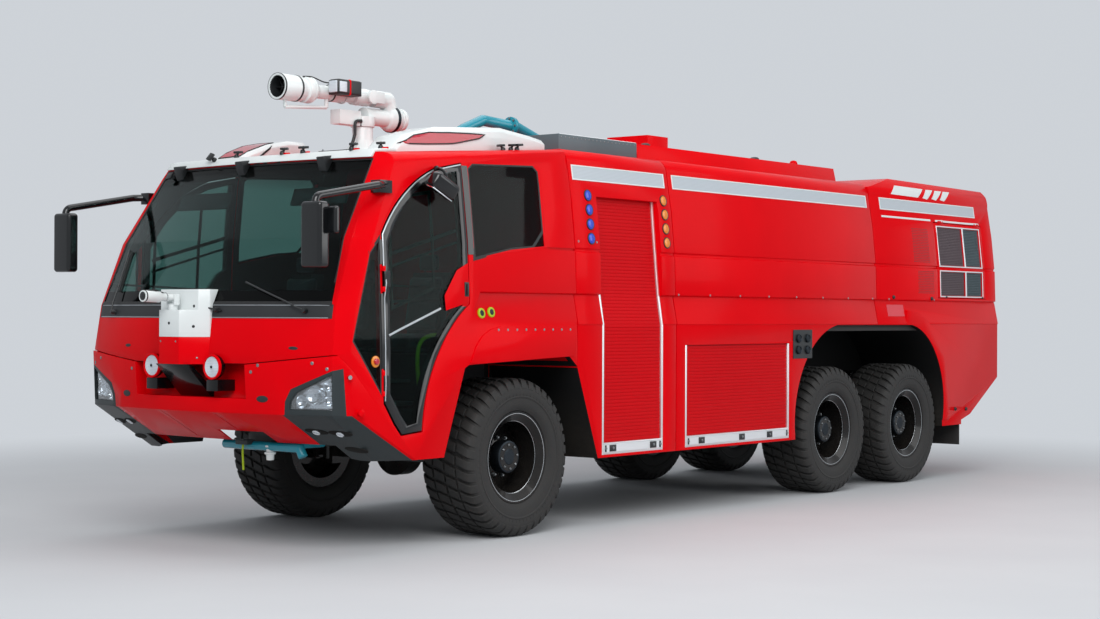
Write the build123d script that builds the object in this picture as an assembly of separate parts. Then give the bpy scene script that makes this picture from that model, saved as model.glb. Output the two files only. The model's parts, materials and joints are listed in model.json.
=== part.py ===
from build123d import *
import os

# Airport crash tender on six wheels, in millimetres.
# +X is the truck's left side, -Y is forward and +Z is up. Every Y is measured from the front axle.
# One shift at the end puts the origin on the ground under the middle of the overall length.

# Running gear
axle_height = 680
middle_axle_y = 5352
rear_axle_y = 7044
tyre_width = 560
tyre_shoulder_drop = 22
tyre_bead_radius = 395
tyre_bore_radius = 330
wheel_centre_x = 1180
rim_wall = 18
hub_radius = 130
hub_cap_radius = 140
hub_cap_inset = 80
hub_seat_x = 1000
kingpin_x = 850
kingpin_radius = 58
kingpin_length = 240
yoke_plate = 40
beam_height = 180
beam_depth = 170
casing_radius = 230
casing_half = 150
casing_y = 40
spring_x = 620
spring_radius = 85
spring_top_z = 1240

# Frame
rail_x = 430
rail_width = 90
rail_top_z = 1080
rail_height = 280
rail_front_y = -1350
rail_back_y = 8950
eye_width = 140
eye_plate = 40
eye_hole_radius = 21
eye_y = 9160

# Body
half_width = 1500
sill_z = 615
low_limit = 300
side_drop = 8
band_low_z = 1820
band_high_z = 2082
band_depth = 52
roof_z = 3390
upper_rise = 1308
module_gap = 12
panel_gap = 8
cab_back_y = 739
pump_module_end_y = 2288
tank_module_end_y = 6215
body_end_y = 9270
tunnel_half = 505
well_half = 464
body_wall = 50
seat_clearance = 0.3


def lifted(z):
    """A height above the band, which rises and falls with the roof."""
    return band_high_z + (z - band_high_z) * (roof_z - band_high_z) / upper_rise


crease_z = lifted(2500)
shoulder_z = lifted(3250)
side_zone = (half_width - 400, half_width + 200)
beyond = half_width + 200

# Cab
cab_wall = 60
door_gap = 14
door_border = 62
door_front_y = -1740
door_rear_y = -700
floor_plate = 50
wheel_box_z = 1545
glass_thickness = 8
glass_inset = 6
bumper_proud = 10
windscreen_base_z = 1985
windscreen_top_z = lifted(3150)
windscreen_low_half = half_width - 115
windscreen_high_half = half_width - 252
cowl_low_z = 1865
cowl_half = half_width - 98
visor_thickness = 28

# Hinge pins
pin_radius = 8
pin_length = 120
door_pin_radius = 6.5
door_pin_x = half_width + 2
door_pin_y = -1733
hatch_pin_y = body_end_y - 20
hatch_pin_z = 2416

# Arches
arch_top_z = 1808
rear_arch_front_y = 4465
rear_arch_back_y = 7787
lip_width = 165
front_arch = [(-1080, 500), (-1023, 757), (-773, 1461), (-723, 1487), (627, 1537), (750, 1439), (1058, 610), (1080, 500)]

# Openings in the engine module
flap_front_y = 7700
flap_back_y = 8960
flap_low_z = 2120
flap_high_z = lifted(3020)
flap_pin_x = half_width - 80
flap_pin_z = flap_high_z - 4
hatch_half = 520
hatch_low_z = 1260
hatch_high_z = 2420

# Roof
tank_top_z = roof_z + 180
tank_top_half = half_width - 500
tank_top_front_y = 2340
tank_top_back_y = 6150
lid_front_y = 4170
lid_back_y = 5340
lid_half = 330
lid_top_z = tank_top_z + 80
lid_pin_x = -lid_half - 10
lid_pin_z = tank_top_z + 10
well_front_y = 1090
well_back_y = 2310
well_wall = 20
engine_roof_rise = 95
pipe_radius = 50
pipe_flange_radius = 85
cab_roof_back_z = roof_z - 5
cab_roof_front = (-1500, roof_z - 180)
roof_edge_width = 150
roof_edge_drop = 135

# Roof turret
turret_y = -450
column_radius = 92
column_top_z = roof_z + 170
swivel_top_z = column_top_z + 90
lower_tube_z = column_top_z + 100
pitch_y = -420
pitch_z = column_top_z + 265
tube_radius = 76
cheek_x = 92
cheek_plate = 22
nozzle_y = -1480

# Bumper turret
turret_front_y = -2900
bracket_low_z = 1500
bracket_top_z = 1715
turret_box_top_z = 2095
ledge_z = 1930
monitor_y = -2595
monitor_z = 2030
front_limit = turret_front_y - 100

# Rear ladder
ladder_x = 1050
ladder_half = 200
ladder_tube = 17
ladder_standoff = 60
tail_reach_y = body_end_y + ladder_standoff + ladder_tube


def block(x0, x1, y0, y1, z0, z1):
    return Pos((x0 + x1) / 2, (y0 + y1) / 2, (z0 + z1) / 2) * Box(x1 - x0, y1 - y0, z1 - z0)


def flat(edges):
    return make_face(Curve() + edges)


def outline(points):
    return flat([Polyline(*points, close=True)])


def side_prism(face, x0, x1):
    """A face drawn in (y, z), thickened along X."""
    return extrude(Plane.YZ.offset(x0) * face, x1 - x0)


def front_prism(face, y0, y1):
    """A face drawn in (x, z), thickened along Y."""
    return extrude(Plane.XZ.offset(-y1) * face, y1 - y0)


def plan_prism(face, z0, z1):
    """A face drawn in (x, y), thickened along Z."""
    return extrude(Plane.XY.offset(z0) * face, z1 - z0)


def other_side(shape):
    return mirror(shape, Plane.YZ)


def both_sides(shape):
    return [shape, other_side(shape)]


def rod(start, end, radius):
    axis = Vector(*end) - Vector(*start)
    plane = Plane(origin=start, z_dir=axis)
    return extrude(plane * Circle(radius), axis.length)


def pipe(points, radius, bend):
    path = FilletPolyline(*points, radius=bend)
    return sweep(Plane(path @ 0, z_dir=path % 0) * Circle(radius), path=path)


def round_pipe(points, radius):
    """A pipe of straight runs with a ball at each bend."""
    shape = rod(points[0], points[1], radius)
    for start, end in zip(points[1:], points[2:]):
        shape = shape + Pos(*start) * Sphere(radius) + rod(start, end, radius)
    return shape


def turned_along_y(profile, z):
    """A turned piece on a fore-and-aft axis. The profile's columns are y and radius."""
    face = Plane.XY * outline([(radius, y) for y, radius in profile])
    return Pos(0, 0, z) * revolve(face, Axis.Y)


# Cab form: plan sections from the bumper's underside to the roof.
# columns: height, side inset, front end of the side, corner inset, corner y, nose y
cab_sections = [
    (740, 0, -1370, 170, -1690, -1760),
    (1120, 0, -2060, 75, -2230, -2440),
    (1600, 0, -2110, 60, -2240, -2480),
    (1970, 12, -2035, 80, -2190, -2440),
    (lifted(2500), 35, -1830, 110, -1985, -2200),
    (lifted(3080), 100, -1540, 215, -1640, -1760),
    (roof_z + 60, 175, -1350, 325, -1420, -1510),
]
cab_roof_side_x = half_width - 100


def cab_form(inset):
    """The cab's outer form, or the same form drawn in by a wall."""
    back = cab_back_y - inset
    faces = []
    for z, side_inset, side_y, corner_inset, corner_y, nose_y in cab_sections:
        low = z == cab_sections[0][0]
        level = z - (max(inset, 0) if low else 0)
        x, y = half_width - side_inset - inset, side_y + inset * 0.5
        cx, cy, ny = half_width - corner_inset - inset, corner_y + inset, nose_y + inset
        edges = [
            Line((-x, back), (x, back)),
            Line((x, back), (x, y)),
            Line((x, y), (cx, cy)),
            ThreePointArc((cx, cy), (0, ny), (-cx, cy)),
            Line((-cx, cy), (-x, y)),
            Line((-x, y), (-x, back)),
        ]
        faces.append(Pos(0, 0, level) * flat(edges))
    return loft(faces, ruled=True) & cab_roof(inset)


def cab_roof(inset):
    """Everything under the sloping roof with its rounded side edges."""
    top = cab_roof_back_z - inset
    edge_x = cab_roof_side_x - inset
    flat_x = edge_x - roof_edge_width
    low = top - roof_edge_drop
    slope_run = cab_back_y - cab_roof_front[0]
    slope_fall = cab_roof_back_z - cab_roof_front[1]
    bulge_x = edge_x - 0.25 * roof_edge_width
    bulge_z = top - 0.3 * roof_edge_drop
    edges = [
        ThreePointArc((edge_x, low), (bulge_x, bulge_z), (flat_x, top)),
        Line((flat_x, top), (-flat_x, top)),
        ThreePointArc((-flat_x, top), (-bulge_x, bulge_z), (-edge_x, low)),
        Polyline((-edge_x, low), (-beyond, low), (-beyond, -400), (beyond, -400), (beyond, low), (edge_x, low)),
    ]
    face = Plane.XZ.offset(-cab_back_y - 50) * flat(edges)
    direction = Vector(0, -slope_run, -slope_fall).normalized()
    return extrude(face, cab_back_y - front_limit + 200, dir=direction)


def cab_skin(inset, wall):
    """A shell of the cab's form, from one depth to a deeper one."""
    return cab_form(inset) - cab_form(inset + wall)


# Half the body's section from sill to shoulder, with the band, its groove and the crease groove.
# columns: depth from the widest point, height
body_points = [
    (side_drop, sill_z),
    (side_drop, band_low_z - 6),
    (0, band_low_z),
    (band_depth, band_high_z),
    (20, band_high_z + 14),
    (30, crease_z - 38),
    (46, crease_z - 30),
    (46, crease_z - 8),
    (34, crease_z),
    (72, lifted(2880)),
    (130, shoulder_z),
]


def body_face(inset, roof_rise=0):
    """The body's whole section, drawn in by a wall."""
    top = roof_z + roof_rise - inset
    right = [(half_width - depth - inset, z) for depth, z in body_points]
    end = (half_width - 230 - inset, top)
    mid = (half_width - 158 - inset, shoulder_z + 0.62 * (top - shoulder_z))
    left = [(-x, z) for x, z in right]
    edges = [
        Polyline(*right),
        ThreePointArc(right[-1], mid, end),
        Line(end, (-end[0], end[1])),
        ThreePointArc((-end[0], end[1]), (-mid[0], mid[1]), left[-1]),
        Polyline(*reversed(left)),
        Line(left[0], right[0]),
    ]
    return flat(edges)


def rear_arch_face():
    y0, y1, top = rear_arch_front_y, rear_arch_back_y, arch_top_z
    edges = [
        Line((y0, 400), (y0, 650)),
        ThreePointArc((y0, 650), (y0 + 261, top - 322), (y0 + 870, top)),
        Line((y0 + 870, top), (y1 - 777, top)),
        ThreePointArc((y1 - 777, top), (y1 - 231, top - 277), (y1, 690)),
        Line((y1, 690), (y1, 400)),
        Line((y1, 400), (y0, 400)),
    ]
    return flat(edges)


def arch_cuts(face):
    return side_prism(face, well_half, beyond) + side_prism(face, -beyond, -well_half)


tunnel = block(-tunnel_half, tunnel_half, front_limit, body_end_y + 500, low_limit, rail_top_z + seat_clearance)


# Wheels
def tyre():
    r, half = axle_height, tyre_width / 2
    points = [
        (-half + 80, tyre_bore_radius + seat_clearance),
        (-half + 65, tyre_bead_radius),
        (-half + 12, tyre_bead_radius + 60),
        (-half, 0.8 * r),
        (-half + 18, 0.92 * r),
        (-half + 35, r - tyre_shoulder_drop),
        (-half + 110, r),
    ]
    right = [(-x, y) for x, y in reversed(points)]
    return revolve(outline(points + right), Axis.X)


def rim():
    half = tyre_width / 2 - 65
    flange = tyre_bead_radius
    hub_face = half + rim_wall - hub_cap_inset
    hub_back = wheel_centre_x - hub_seat_x - seat_clearance
    barrel = revolve(outline([
        (-half - rim_wall, tyre_bore_radius - rim_wall),
        (-half - rim_wall, flange),
        (-half - seat_clearance, flange),
        (-half + 15 - seat_clearance, tyre_bore_radius),
        (half - 15 + seat_clearance, tyre_bore_radius),
        (half + seat_clearance, flange),
        (half + rim_wall, flange),
        (half + rim_wall, flange - 25),
        (half - 20, tyre_bore_radius - rim_wall),
    ]), Axis.X)
    disc = revolve(outline([
        (-hub_back, 0.01),
        (-hub_back, hub_radius),
        (-30, hub_radius),
        (-30, 190),
        (-60, tyre_bore_radius - rim_wall + 1),
        (-30, tyre_bore_radius - rim_wall + 1),
        (10, 200),
        (40, hub_cap_radius),
        (hub_face - 15, hub_cap_radius),
        (hub_face, hub_cap_radius - 20),
        (hub_face, 0.01),
    ]), Axis.X)
    return barrel + disc


wheel_places = [
    ("front", 0),
    ("middle", middle_axle_y),
    ("rear", rear_axle_y),
]


# Axles and knuckles
def axle_beam(end_x):
    beam = block(-end_x, end_x, -beam_depth / 2, beam_depth / 2, -beam_height / 2, beam_height / 2)
    casing = turned_along_y([
        (casing_y - casing_half, 0.01),
        (casing_y - casing_half, 0.45 * casing_radius),
        (casing_y - 0.5 * casing_half, casing_radius),
        (casing_y + 0.5 * casing_half, casing_radius),
        (casing_y + casing_half, 0.45 * casing_radius),
        (casing_y + casing_half, 0.01),
    ], 0)
    seats = [
        block(s * spring_x - 95, s * spring_x + 95, -95, 95, beam_height / 2 - 5, beam_height / 2 + 20)
        for s in (1, -1)
    ]
    return beam + casing + seats


def front_axle():
    reach = kingpin_length / 2 + yoke_plate
    inner = kingpin_x - kingpin_radius - 12
    outer = kingpin_x + kingpin_radius
    beam = axle_beam(inner - 30)
    yoke = block(inner - 40, inner, -70, 70, -reach, reach)
    yoke = yoke + block(inner - 5, outer, -65, 65, kingpin_length / 2, reach)
    yoke = yoke + block(inner - 5, outer, -65, 65, -reach, -kingpin_length / 2)
    return Pos(0, 0, axle_height) * (beam + both_sides(yoke))


def rear_axle(y):
    beam = axle_beam(hub_seat_x - 30)
    flange = Pos(hub_seat_x - 20, 0, 0) * Rot(0, 90, 0) * Cylinder(120, 40)
    return Pos(0, y, axle_height) * (beam + both_sides(flange))


def knuckle():
    length = kingpin_length - 2 * seat_clearance
    pin = Pos(kingpin_x, 0, 0) * Cylinder(kingpin_radius, length)
    arm = block(kingpin_x, hub_seat_x - 20, -60, 60, -90, 90)
    flange = Pos(hub_seat_x - 20, 0, 0) * Rot(0, 90, 0) * Cylinder(120, 40)
    return Pos(0, 0, axle_height) * (pin + arm + flange)


def spring():
    base_z = axle_height + beam_height / 2 + 20 + seat_clearance
    height = spring_top_z - base_z - seat_clearance
    turns = 6
    step = height / (turns + 1)
    wire = 16
    neck = 0.45 * spring_radius
    points = [(0.01, 0), (spring_radius, 0)]
    for turn in range(turns):
        mid = step * (turn + 1)
        points += [
            (neck, mid - 0.5 * wire - 6),
            (spring_radius, mid - 0.5 * wire),
            (spring_radius, mid + 0.5 * wire),
            (neck, mid + 0.5 * wire + 6),
        ]
    points += [(spring_radius, height), (0.01, height)]
    return Pos(0, 0, base_z) * revolve(Plane.XZ * outline(points), Axis.Z)


def frame_rails():
    low = rail_top_z - rail_height
    inner = rail_x - rail_width / 2
    outer = rail_x + rail_width / 2
    shape = block(inner, outer, rail_front_y, rail_back_y, low, rail_top_z)
    for y in (0, middle_axle_y, rear_axle_y):
        shape = shape + block(outer - 5, spring_x + 90, y - 90, y + 90, spring_top_z, spring_top_z + 30)
        shape = shape + block(outer - 5, tunnel_half - 5, y - 90, y + 90, rail_top_z - 150, spring_top_z + 5)
    member_half = inner + 10
    members = [
        block(-member_half, member_half, y - 60, y + 60, low + 60, rail_top_z - 40)
        for y in (rail_front_y + 60, 900, 2300, 3700, 6198, 8000, rail_back_y - 60)
    ]
    eye_low = low + 80
    eye = block(-eye_width / 2, eye_width / 2, rail_back_y - 20, eye_y, eye_low, eye_low + eye_plate)
    eye = eye - Pos(0, eye_y - eye_width / 2, eye_low + eye_plate / 2) * Cylinder(eye_hole_radius, 2 * eye_plate)
    return shape + other_side(shape) + members + eye


arch_cut = arch_cuts(outline(front_arch))
rear_arch_cut = arch_cuts(rear_arch_face())

# Cab outlines seen from the side, in (y, z)
bumper_side = [
    (front_limit, low_limit), (front_limit, 1700), (-2320, 1700),
    (-2222, 1602), (-1366, 739), (-930, low_limit),
]
quarter_glass = [(-1760, 1260), (-1760, lifted(2500)), (-1870, lifted(2385)), (-2085, 1690)]
side_window = [
    (-630, lifted(2365)), (-630, lifted(3120)), (-560, lifted(3165)), (250, lifted(3200)),
    (310, lifted(3150)), (310, lifted(2500)), (-150, lifted(2455)),
]
corner_panel = [
    (-1015, 2060), (-1003, 1935), (-600, 2030), (-600, lifted(2345)), (-700, lifted(2337)), (-856, lifted(2267)),
]
door_sill = [(-1283, 958), (-1541, 938), (-1622, 1029), (door_front_y, 1200)]
fender_flap = [
    (-712, 1500), (-640, 1640), (-560, 1725), (-450, 1780), (-320, 1806), (700, 1806),
    (700, 1562), (688, 1546), (627, 1541), (-640, 1496),
]
fender_proud = 12

# Seen from the front, in (x, z)
bumper_front = [
    (-beyond, low_limit), (beyond, low_limit), (beyond, 1613), (662, 1511), (-662, 1511), (-beyond, 1613),
]


def door_face(margin):
    """The door's outline in (y, z), drawn in by a margin."""
    front = door_front_y + margin
    rear = door_rear_y - margin
    shoulder = lifted(2540) - margin
    crown = lifted(3095) - margin
    sill = [(y + (margin if y < -1500 else -margin), z + margin) for y, z in door_sill]
    edges = [
        Line((front, 1200 + margin), (front, shoulder)),
        ThreePointArc((front, shoulder), (-1440 + margin * 0.7, lifted(2878) - margin * 0.7), (-1060, crown)),
        Line((-1060, crown), (rear, lifted(3165) - margin)),
        Line((rear, lifted(3165) - margin), (rear, 1990)),
        ThreePointArc((rear, 1990), (-1085 - margin, 1600), (-1283 - margin, 958 + margin)),
        Polyline(*sill[:3], (front, 1200 + margin)),
    ]
    return flat(edges)


def windscreen_face(margin):
    low, high = windscreen_low_half - margin, windscreen_high_half - margin
    base, top = windscreen_base_z + margin, windscreen_top_z - margin
    return outline([(-low, base), (low, base), (high, top), (-high, top)])


def headlamp_face(margin):
    outer_x = half_width - 18 - margin
    return outline([
        (half_width - 480 + margin, 1118 + margin),
        (half_width - 470 + margin, 1225),
        (half_width - 415 + margin, 1320 - margin * 0.6),
        (outer_x, 1482 - margin),
        (outer_x, 1118 + margin),
    ])


def grown_in(points, margin):
    """An outline drawn in by a small margin."""
    return offset(outline(points), -margin)


# Cab shell
nodes = {}
outer = cab_form(0)
skin = outer - cab_form(cab_wall)
bumper_zone = side_prism(outline(bumper_side), -beyond, beyond) & front_prism(outline(bumper_front), front_limit, -900)
door_cut = side_prism(door_face(0), *side_zone)
windscreen_cut = front_prism(windscreen_face(0), front_limit, -1450)
cowl_top_z = windscreen_base_z - 10
cowl_zone = block(-cowl_half, cowl_half, front_limit, -2050, cowl_low_z, cowl_top_z)
shell = skin - bumper_zone - windscreen_cut - cowl_zone - tunnel - arch_cut
for points in (quarter_glass, side_window):
    window = side_prism(outline(points), *side_zone)
    shell = shell - window - other_side(window)
shell = shell - door_cut - other_side(door_cut)

groove = front_prism(outline([
    (beyond, band_low_z), (half_width + 1, band_low_z), (half_width - 50, band_high_z),
    (half_width - 17, band_high_z + 14), (beyond, band_high_z + 14),
]), -800, cab_back_y + 5)
groove = groove & side_prism(outline([
    (-560, band_high_z + 20), (-700, band_low_z - 5), (cab_back_y + 5, band_low_z - 5), (cab_back_y + 5, band_high_z + 20),
]), *side_zone)
crease = block(half_width - 50, beyond, 345, cab_back_y + 5, crease_z - 30, crease_z - 8)
flap_panel = side_prism(outline(fender_flap), half_width - 12, half_width + fender_proud)
flap_panel = flap_panel - side_prism(door_face(-2), *side_zone)
shell = shell - groove - other_side(groove) - crease - other_side(crease)
shell = shell + flap_panel + other_side(flap_panel)


def door_pin(low, high, reach):
    """A length of hinge pin on the door's axis with a leaf that runs fore or aft."""
    leaf_y = sorted((door_pin_y, door_pin_y + reach))
    pin = rod((door_pin_x, door_pin_y, low), (door_pin_x, door_pin_y, high), door_pin_radius)
    return pin + block(half_width - 40, door_pin_x + 3, *leaf_y, low, high)


door_pin_places = [(1300, 1420), (2120, 2240)]
for low, high in door_pin_places:
    for knuckle_low, knuckle_high in ((low - 41, low - 1), (high + 1, high + 41)):
        stub = door_pin(knuckle_low, knuckle_high, -22)
        shell = shell + stub + other_side(stub)
nodes["cab_shell"] = shell

# Bumper with its corners and lamps
recess_half = 660
recess_back_y = -2320
front_skin = (cab_form(-bumper_proud) - cab_form(cab_wall)) & bumper_zone.moved(Location((0, 0, -panel_gap)))
corner_zone = side_prism(outline([(-2900, 1118), (-2090, 1118), (-1400, 738), (-1350, 500), (-2900, 500)]),
                         half_width - 500, beyond)
recess = block(-recess_half, recess_half, front_limit, recess_back_y, 1235, 1530)
recess_box = block(-recess_half - 20, recess_half + 20, -2600, recess_back_y + 20, 1215, 1503) & outer
underside = block(-half_width + 350, half_width - 350, front_limit, -900, 0, 868)
notch = block(40, 560, -2300, -1700, 860, 960)
grooves = [
    block(x - 5, x + 5, -2425, -1900, 868, 1110) & (cab_form(-bumper_proud - 2) - cab_form(12))
    for x in (-350, 300)
]
lamp_pocket = front_prism(headlamp_face(0), front_limit, -2050)
bumper = front_skin - recess - underside - notch - grooves
corners = []
for zone in both_sides(corner_zone):
    corners.append((front_skin - underside) & zone)
    bumper = bumper - zone
for pocket in both_sides(lamp_pocket):
    bumper = bumper - pocket
nodes["bumper"] = bumper + (recess_box - recess)
surround = front_prism(headlamp_face(0.3), front_limit, -2050) - front_prism(headlamp_face(45), front_limit, -2050)
surround = surround & cab_skin(-bumper_proud, 100) & bumper_zone.moved(Location((0, 0, -panel_gap)))
nodes["bumper_corners"] = [corner + ring for corner, ring in zip(corners, both_sides(surround))]
headlamp = front_prism(headlamp_face(45 + seat_clearance), front_limit, -2050) & cab_skin(4, 80)

bracket_plan = [(-120, -2635), (120, -2635), (290, -2465), (290, -2300), (-290, -2300), (-290, -2465)]
work_lamp_x = 364
work_lamp_z = 1480
work_lamp_front_y = -2515
work_lamp = rod((work_lamp_x, work_lamp_front_y, work_lamp_z), (work_lamp_x, -2420, work_lamp_z), 100)
work_lamp = work_lamp - rod((work_lamp_x, work_lamp_front_y - 5, work_lamp_z), (work_lamp_x, work_lamp_front_y + 8, work_lamp_z), 88)
work_lamp = work_lamp - cab_form(-bumper_proud - seat_clearance)
bracket_seat = offset(outline(bracket_plan), seat_clearance)
work_lamp = work_lamp - plan_prism(bracket_seat, bracket_low_z - seat_clearance, turret_box_top_z)
nodes["front_lamps"] = both_sides(headlamp) + both_sides(work_lamp)

# Windows
cowl_gap = seat_clearance
nodes["cowl"] = skin & block(-cowl_half + cowl_gap, cowl_half - cowl_gap, front_limit, -2050,
                             cowl_low_z + cowl_gap, cowl_top_z - cowl_gap)
glass_skin = cab_skin(glass_inset, glass_thickness)
nodes["windscreen"] = glass_skin & front_prism(windscreen_face(seat_clearance), front_limit, -1450)
side_glass = []
for points in (quarter_glass, side_window):
    side_glass += both_sides(glass_skin & side_prism(grown_in(points, seat_clearance), *side_zone))
nodes["side_windows"] = side_glass

# Doors
corner_prism = side_prism(outline(corner_panel), *side_zone)
door_opening = side_prism(door_face(door_gap + door_border), *side_zone) - corner_prism
door = (skin & side_prism(door_face(door_gap), *side_zone)) - door_opening
door = door + (cab_skin(-4, 30) & corner_prism & side_prism(door_face(door_gap), *side_zone))
for low, high in door_pin_places:
    door = door + door_pin(low, high, 60)
door_glass = glass_skin & side_prism(door_face(door_gap + door_border + seat_clearance), *side_zone)
door_glass = door_glass - side_prism(offset(outline(corner_panel), seat_clearance), *side_zone)
for side, door_piece, glass in (("left", door, door_glass), ("right", other_side(door), other_side(door_glass))):
    nodes["door_" + side] = door_piece
    nodes["door_glass_" + side] = glass

# Cab floor with its wheel boxes and entry steps
deck = rail_top_z + seat_clearance
floor_top = deck + floor_plate
inner_x = half_width - cab_wall - seat_clearance
floor_back = cab_back_y - cab_wall - seat_clearance
over_rails = well_half - seat_clearance
box_top = wheel_box_z + 30
step_x0, step_x1 = half_width - 400, half_width - 70
step_y0, step_y1 = -1640, -1290
floor = block(-inner_x, inner_x, -1900, -1060, deck, floor_top)
well = block(step_x0, inner_x + 5, step_y0, step_y1, deck - 5, floor_top + 5)
step = block(step_x0, step_x1, step_y0, step_y1, 970, 990)
step = step + block(step_x0, step_x0 + 15, step_y0, step_y1, 970, floor_top)
step = step + block(step_x0, step_x1, step_y1 - 15, step_y1, 970, floor_top)
floor = floor - well - other_side(well) + step + other_side(step)
floor = floor + block(-over_rails, over_rails, -1070, floor_back, deck, floor_top)
floor = floor + block(-inner_x, inner_x, -1090, -1060, deck, box_top)
floor = floor + block(-inner_x, inner_x, -1090, floor_back, wheel_box_z, box_top)
box_wall = block(over_rails - 50, over_rails, -1070, floor_back, deck, wheel_box_z + 10)
nodes["cab_floor"] = floor + box_wall + other_side(box_wall)

# Seats and dashboard
# columns: x, y
seat_places = [(760, -700), (-760, -700), (0, -760), (760, 150), (-760, 150)]
seat_low = box_top + seat_clearance
seats = []
for x, y in seat_places:
    cushion = block(x - 230, x + 230, y - 240, y + 240, seat_low, seat_low + 160)
    back = [(150, 150), (240, 150), (330, 700), (250, 700)]
    backrest = side_prism(outline([(y + dy, seat_low + dz) for dy, dz in back]), x - 220, x + 220)
    headrest = block(x - 120, x + 120, y + 262, y + 340, seat_low + 690, seat_low + 860)
    seats.append(cushion + backrest + headrest)
nodes["seats"] = seats

dash_foot = floor_top + seat_clearance
dash_half = half_width - 350
dash = side_prism(outline([
    (-2260, 1700), (-2180, 1930), (-1800, 1880), (-1700, 1620), (-1760, dash_foot), (-1900, dash_foot),
]), -dash_half, dash_half) & cab_form(cab_wall + 20)
steering_x = 620
hub = (steering_x, -1500, 1900)
steering_plane = Plane(origin=hub, z_dir=(0, 260, 200))
steering = rod((steering_x, -1760, 1700), hub, 35)
steering = steering + steering_plane * (Cylinder(225, 26) - Cylinder(195, 30)) + steering_plane * Box(400, 40, 16)
nodes["dashboard"] = dash + steering

# Mirrors
arm = pipe([
    (half_width - 120, -1600, lifted(2925)),
    (half_width - 10, -1800, lifted(2915)),
    (half_width + 10, -2500, lifted(2790)),
    (half_width + 10, -2500, lifted(2640)),
], 30, 60)
arm = arm + block(half_width - 150, half_width - 50, -1740, -1600, lifted(2860), lifted(2960))
mirror_head = fillet((Pos(half_width + 5, -2500, lifted(2500)) * Box(215, 110, 500)).edges(), 30)
small_mirror = fillet((Pos(half_width + 115, -2440, lifted(2610)) * Box(150, 50, 205)).edges(), 20)
bridge = block(half_width + 60, half_width + 110, -2470, -2440, lifted(2600), lifted(2640))
nodes["mirrors"] = both_sides((arm - outer) + mirror_head + small_mirror + bridge)

# Body modules
pump_front = cab_back_y + module_gap
pump_back = pump_module_end_y - module_gap / 2
tank_front = pump_module_end_y + module_gap / 2
tank_back = tank_module_end_y - module_gap / 2
engine_front = tank_module_end_y + module_gap / 2

# Roller shutters on both sides
# columns: front y, back y, low z, high z, extra depth at the top
shutter_places = [
    (1118, 2068, 640, lifted(2975), 60),
    (2440, 4335, 640, 1620, 0),
]
shutter_recess = 46
rail_face = 26
foot_height = 108


def side_slab(y0, y1, z0, z1, depth0, depth1, lean=0):
    """A slab between two depths of the side. It follows the section, and can lean in above the band."""
    points = [(side_drop, z0), (side_drop, min(band_low_z, z1))]
    if z1 > band_high_z:
        points += [(band_depth, band_high_z), (72 + lean, z1)]
    near = [(half_width - depth - depth0, z) for depth, z in points]
    far = [(half_width - depth - depth1, z) for depth, z in points]
    return front_prism(outline(near + far[::-1]), y0, y1)


recesses, curtains, rails = [], [], []
for y0, y1, z0, z1, lean in shutter_places:
    recesses.append(side_slab(y0, y1, z0, z1, -80 - lean, shutter_recess, lean))
    depth = shutter_recess - seat_clearance
    inner_y0, inner_y1 = y0 + rail_face, y1 - rail_face
    curtains.append(side_slab(inner_y0 + 0.3, inner_y1 - 0.3, z0 + foot_height + 2, z1 - 0.3, 20, depth, lean))
    rail = side_slab(y0 + 0.3, inner_y0, z0 + 0.3, z1 - 0.3, 0, depth, lean)
    rail = rail + side_slab(inner_y1, y1 - 0.3, z0 + 0.3, z1 - 0.3, 0, depth, lean)
    rails.append(rail + side_slab(y0 + 5, y1 - 5, z0 + 0.3, z0 + foot_height, 4, depth))

pump = front_prism(body_face(0), pump_front, pump_back) - tunnel - arch_cut
tank = front_prism(body_face(0), tank_front, tank_back) - tunnel - rear_arch_cut
for cut in recesses:
    pump = pump - cut - other_side(cut)
    tank = tank - cut - other_side(cut)
nodes["pump_module"] = pump
nodes["tank_module"] = tank
nodes["roller_shutters"] = [piece for curtain in curtains for piece in both_sides(curtain)]
nodes["shutter_rails"] = [piece for rail in rails for piece in both_sides(rail)]

# Engine module with its bay, lips, flaps and hatch
step_back = 30
engine_roof_z = roof_z + engine_roof_rise
rear_profile = outline([
    (engine_front, low_limit),
    (engine_front, roof_z - 37),
    (engine_front + 615, engine_roof_z),
    (body_end_y - 90, engine_roof_z - 30),
    (body_end_y - 40, roof_z),
    (body_end_y - step_back, band_high_z + 10),
    (body_end_y, band_high_z - 10),
    (body_end_y, 1160),
    (body_end_y - 230, 1027),
    (8521, 730),
    (8286, 669),
    (8286, low_limit),
])
engine_block = front_prism(body_face(0, engine_roof_rise), engine_front, body_end_y)
engine_block = engine_block & side_prism(rear_profile, -beyond, beyond)
bay_low = 1860
bay_front = engine_front + body_wall
bay_back = body_end_y - body_wall - 40
bay_half = well_half - 20
bay = front_prism(body_face(body_wall, engine_roof_rise - 60), bay_front, bay_back)
bay = bay & block(-beyond, beyond, bay_front, bay_back, bay_low, roof_z - 90)
bay_floor = block(-bay_half, bay_half, bay_front, bay_back, 900, bay_low + 10)
lip = side_prism(offset(rear_arch_face(), lip_width), half_width - 60, half_width)
lip = lip & block(0, beyond, rear_arch_back_y - 887, rear_arch_back_y + 400, 690, 2000)
engine_skin = engine_block + lip + other_side(lip) - tunnel - rear_arch_cut - bay - bay_floor
flap_zone = block(half_width - 500, beyond, flap_front_y, flap_back_y, flap_low_z, flap_high_z)
hatch_zone = block(-hatch_half, hatch_half, bay_back - 20, body_end_y + 60, hatch_low_z, hatch_high_z)
engine_module = engine_skin - flap_zone - other_side(flap_zone) - hatch_zone

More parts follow.
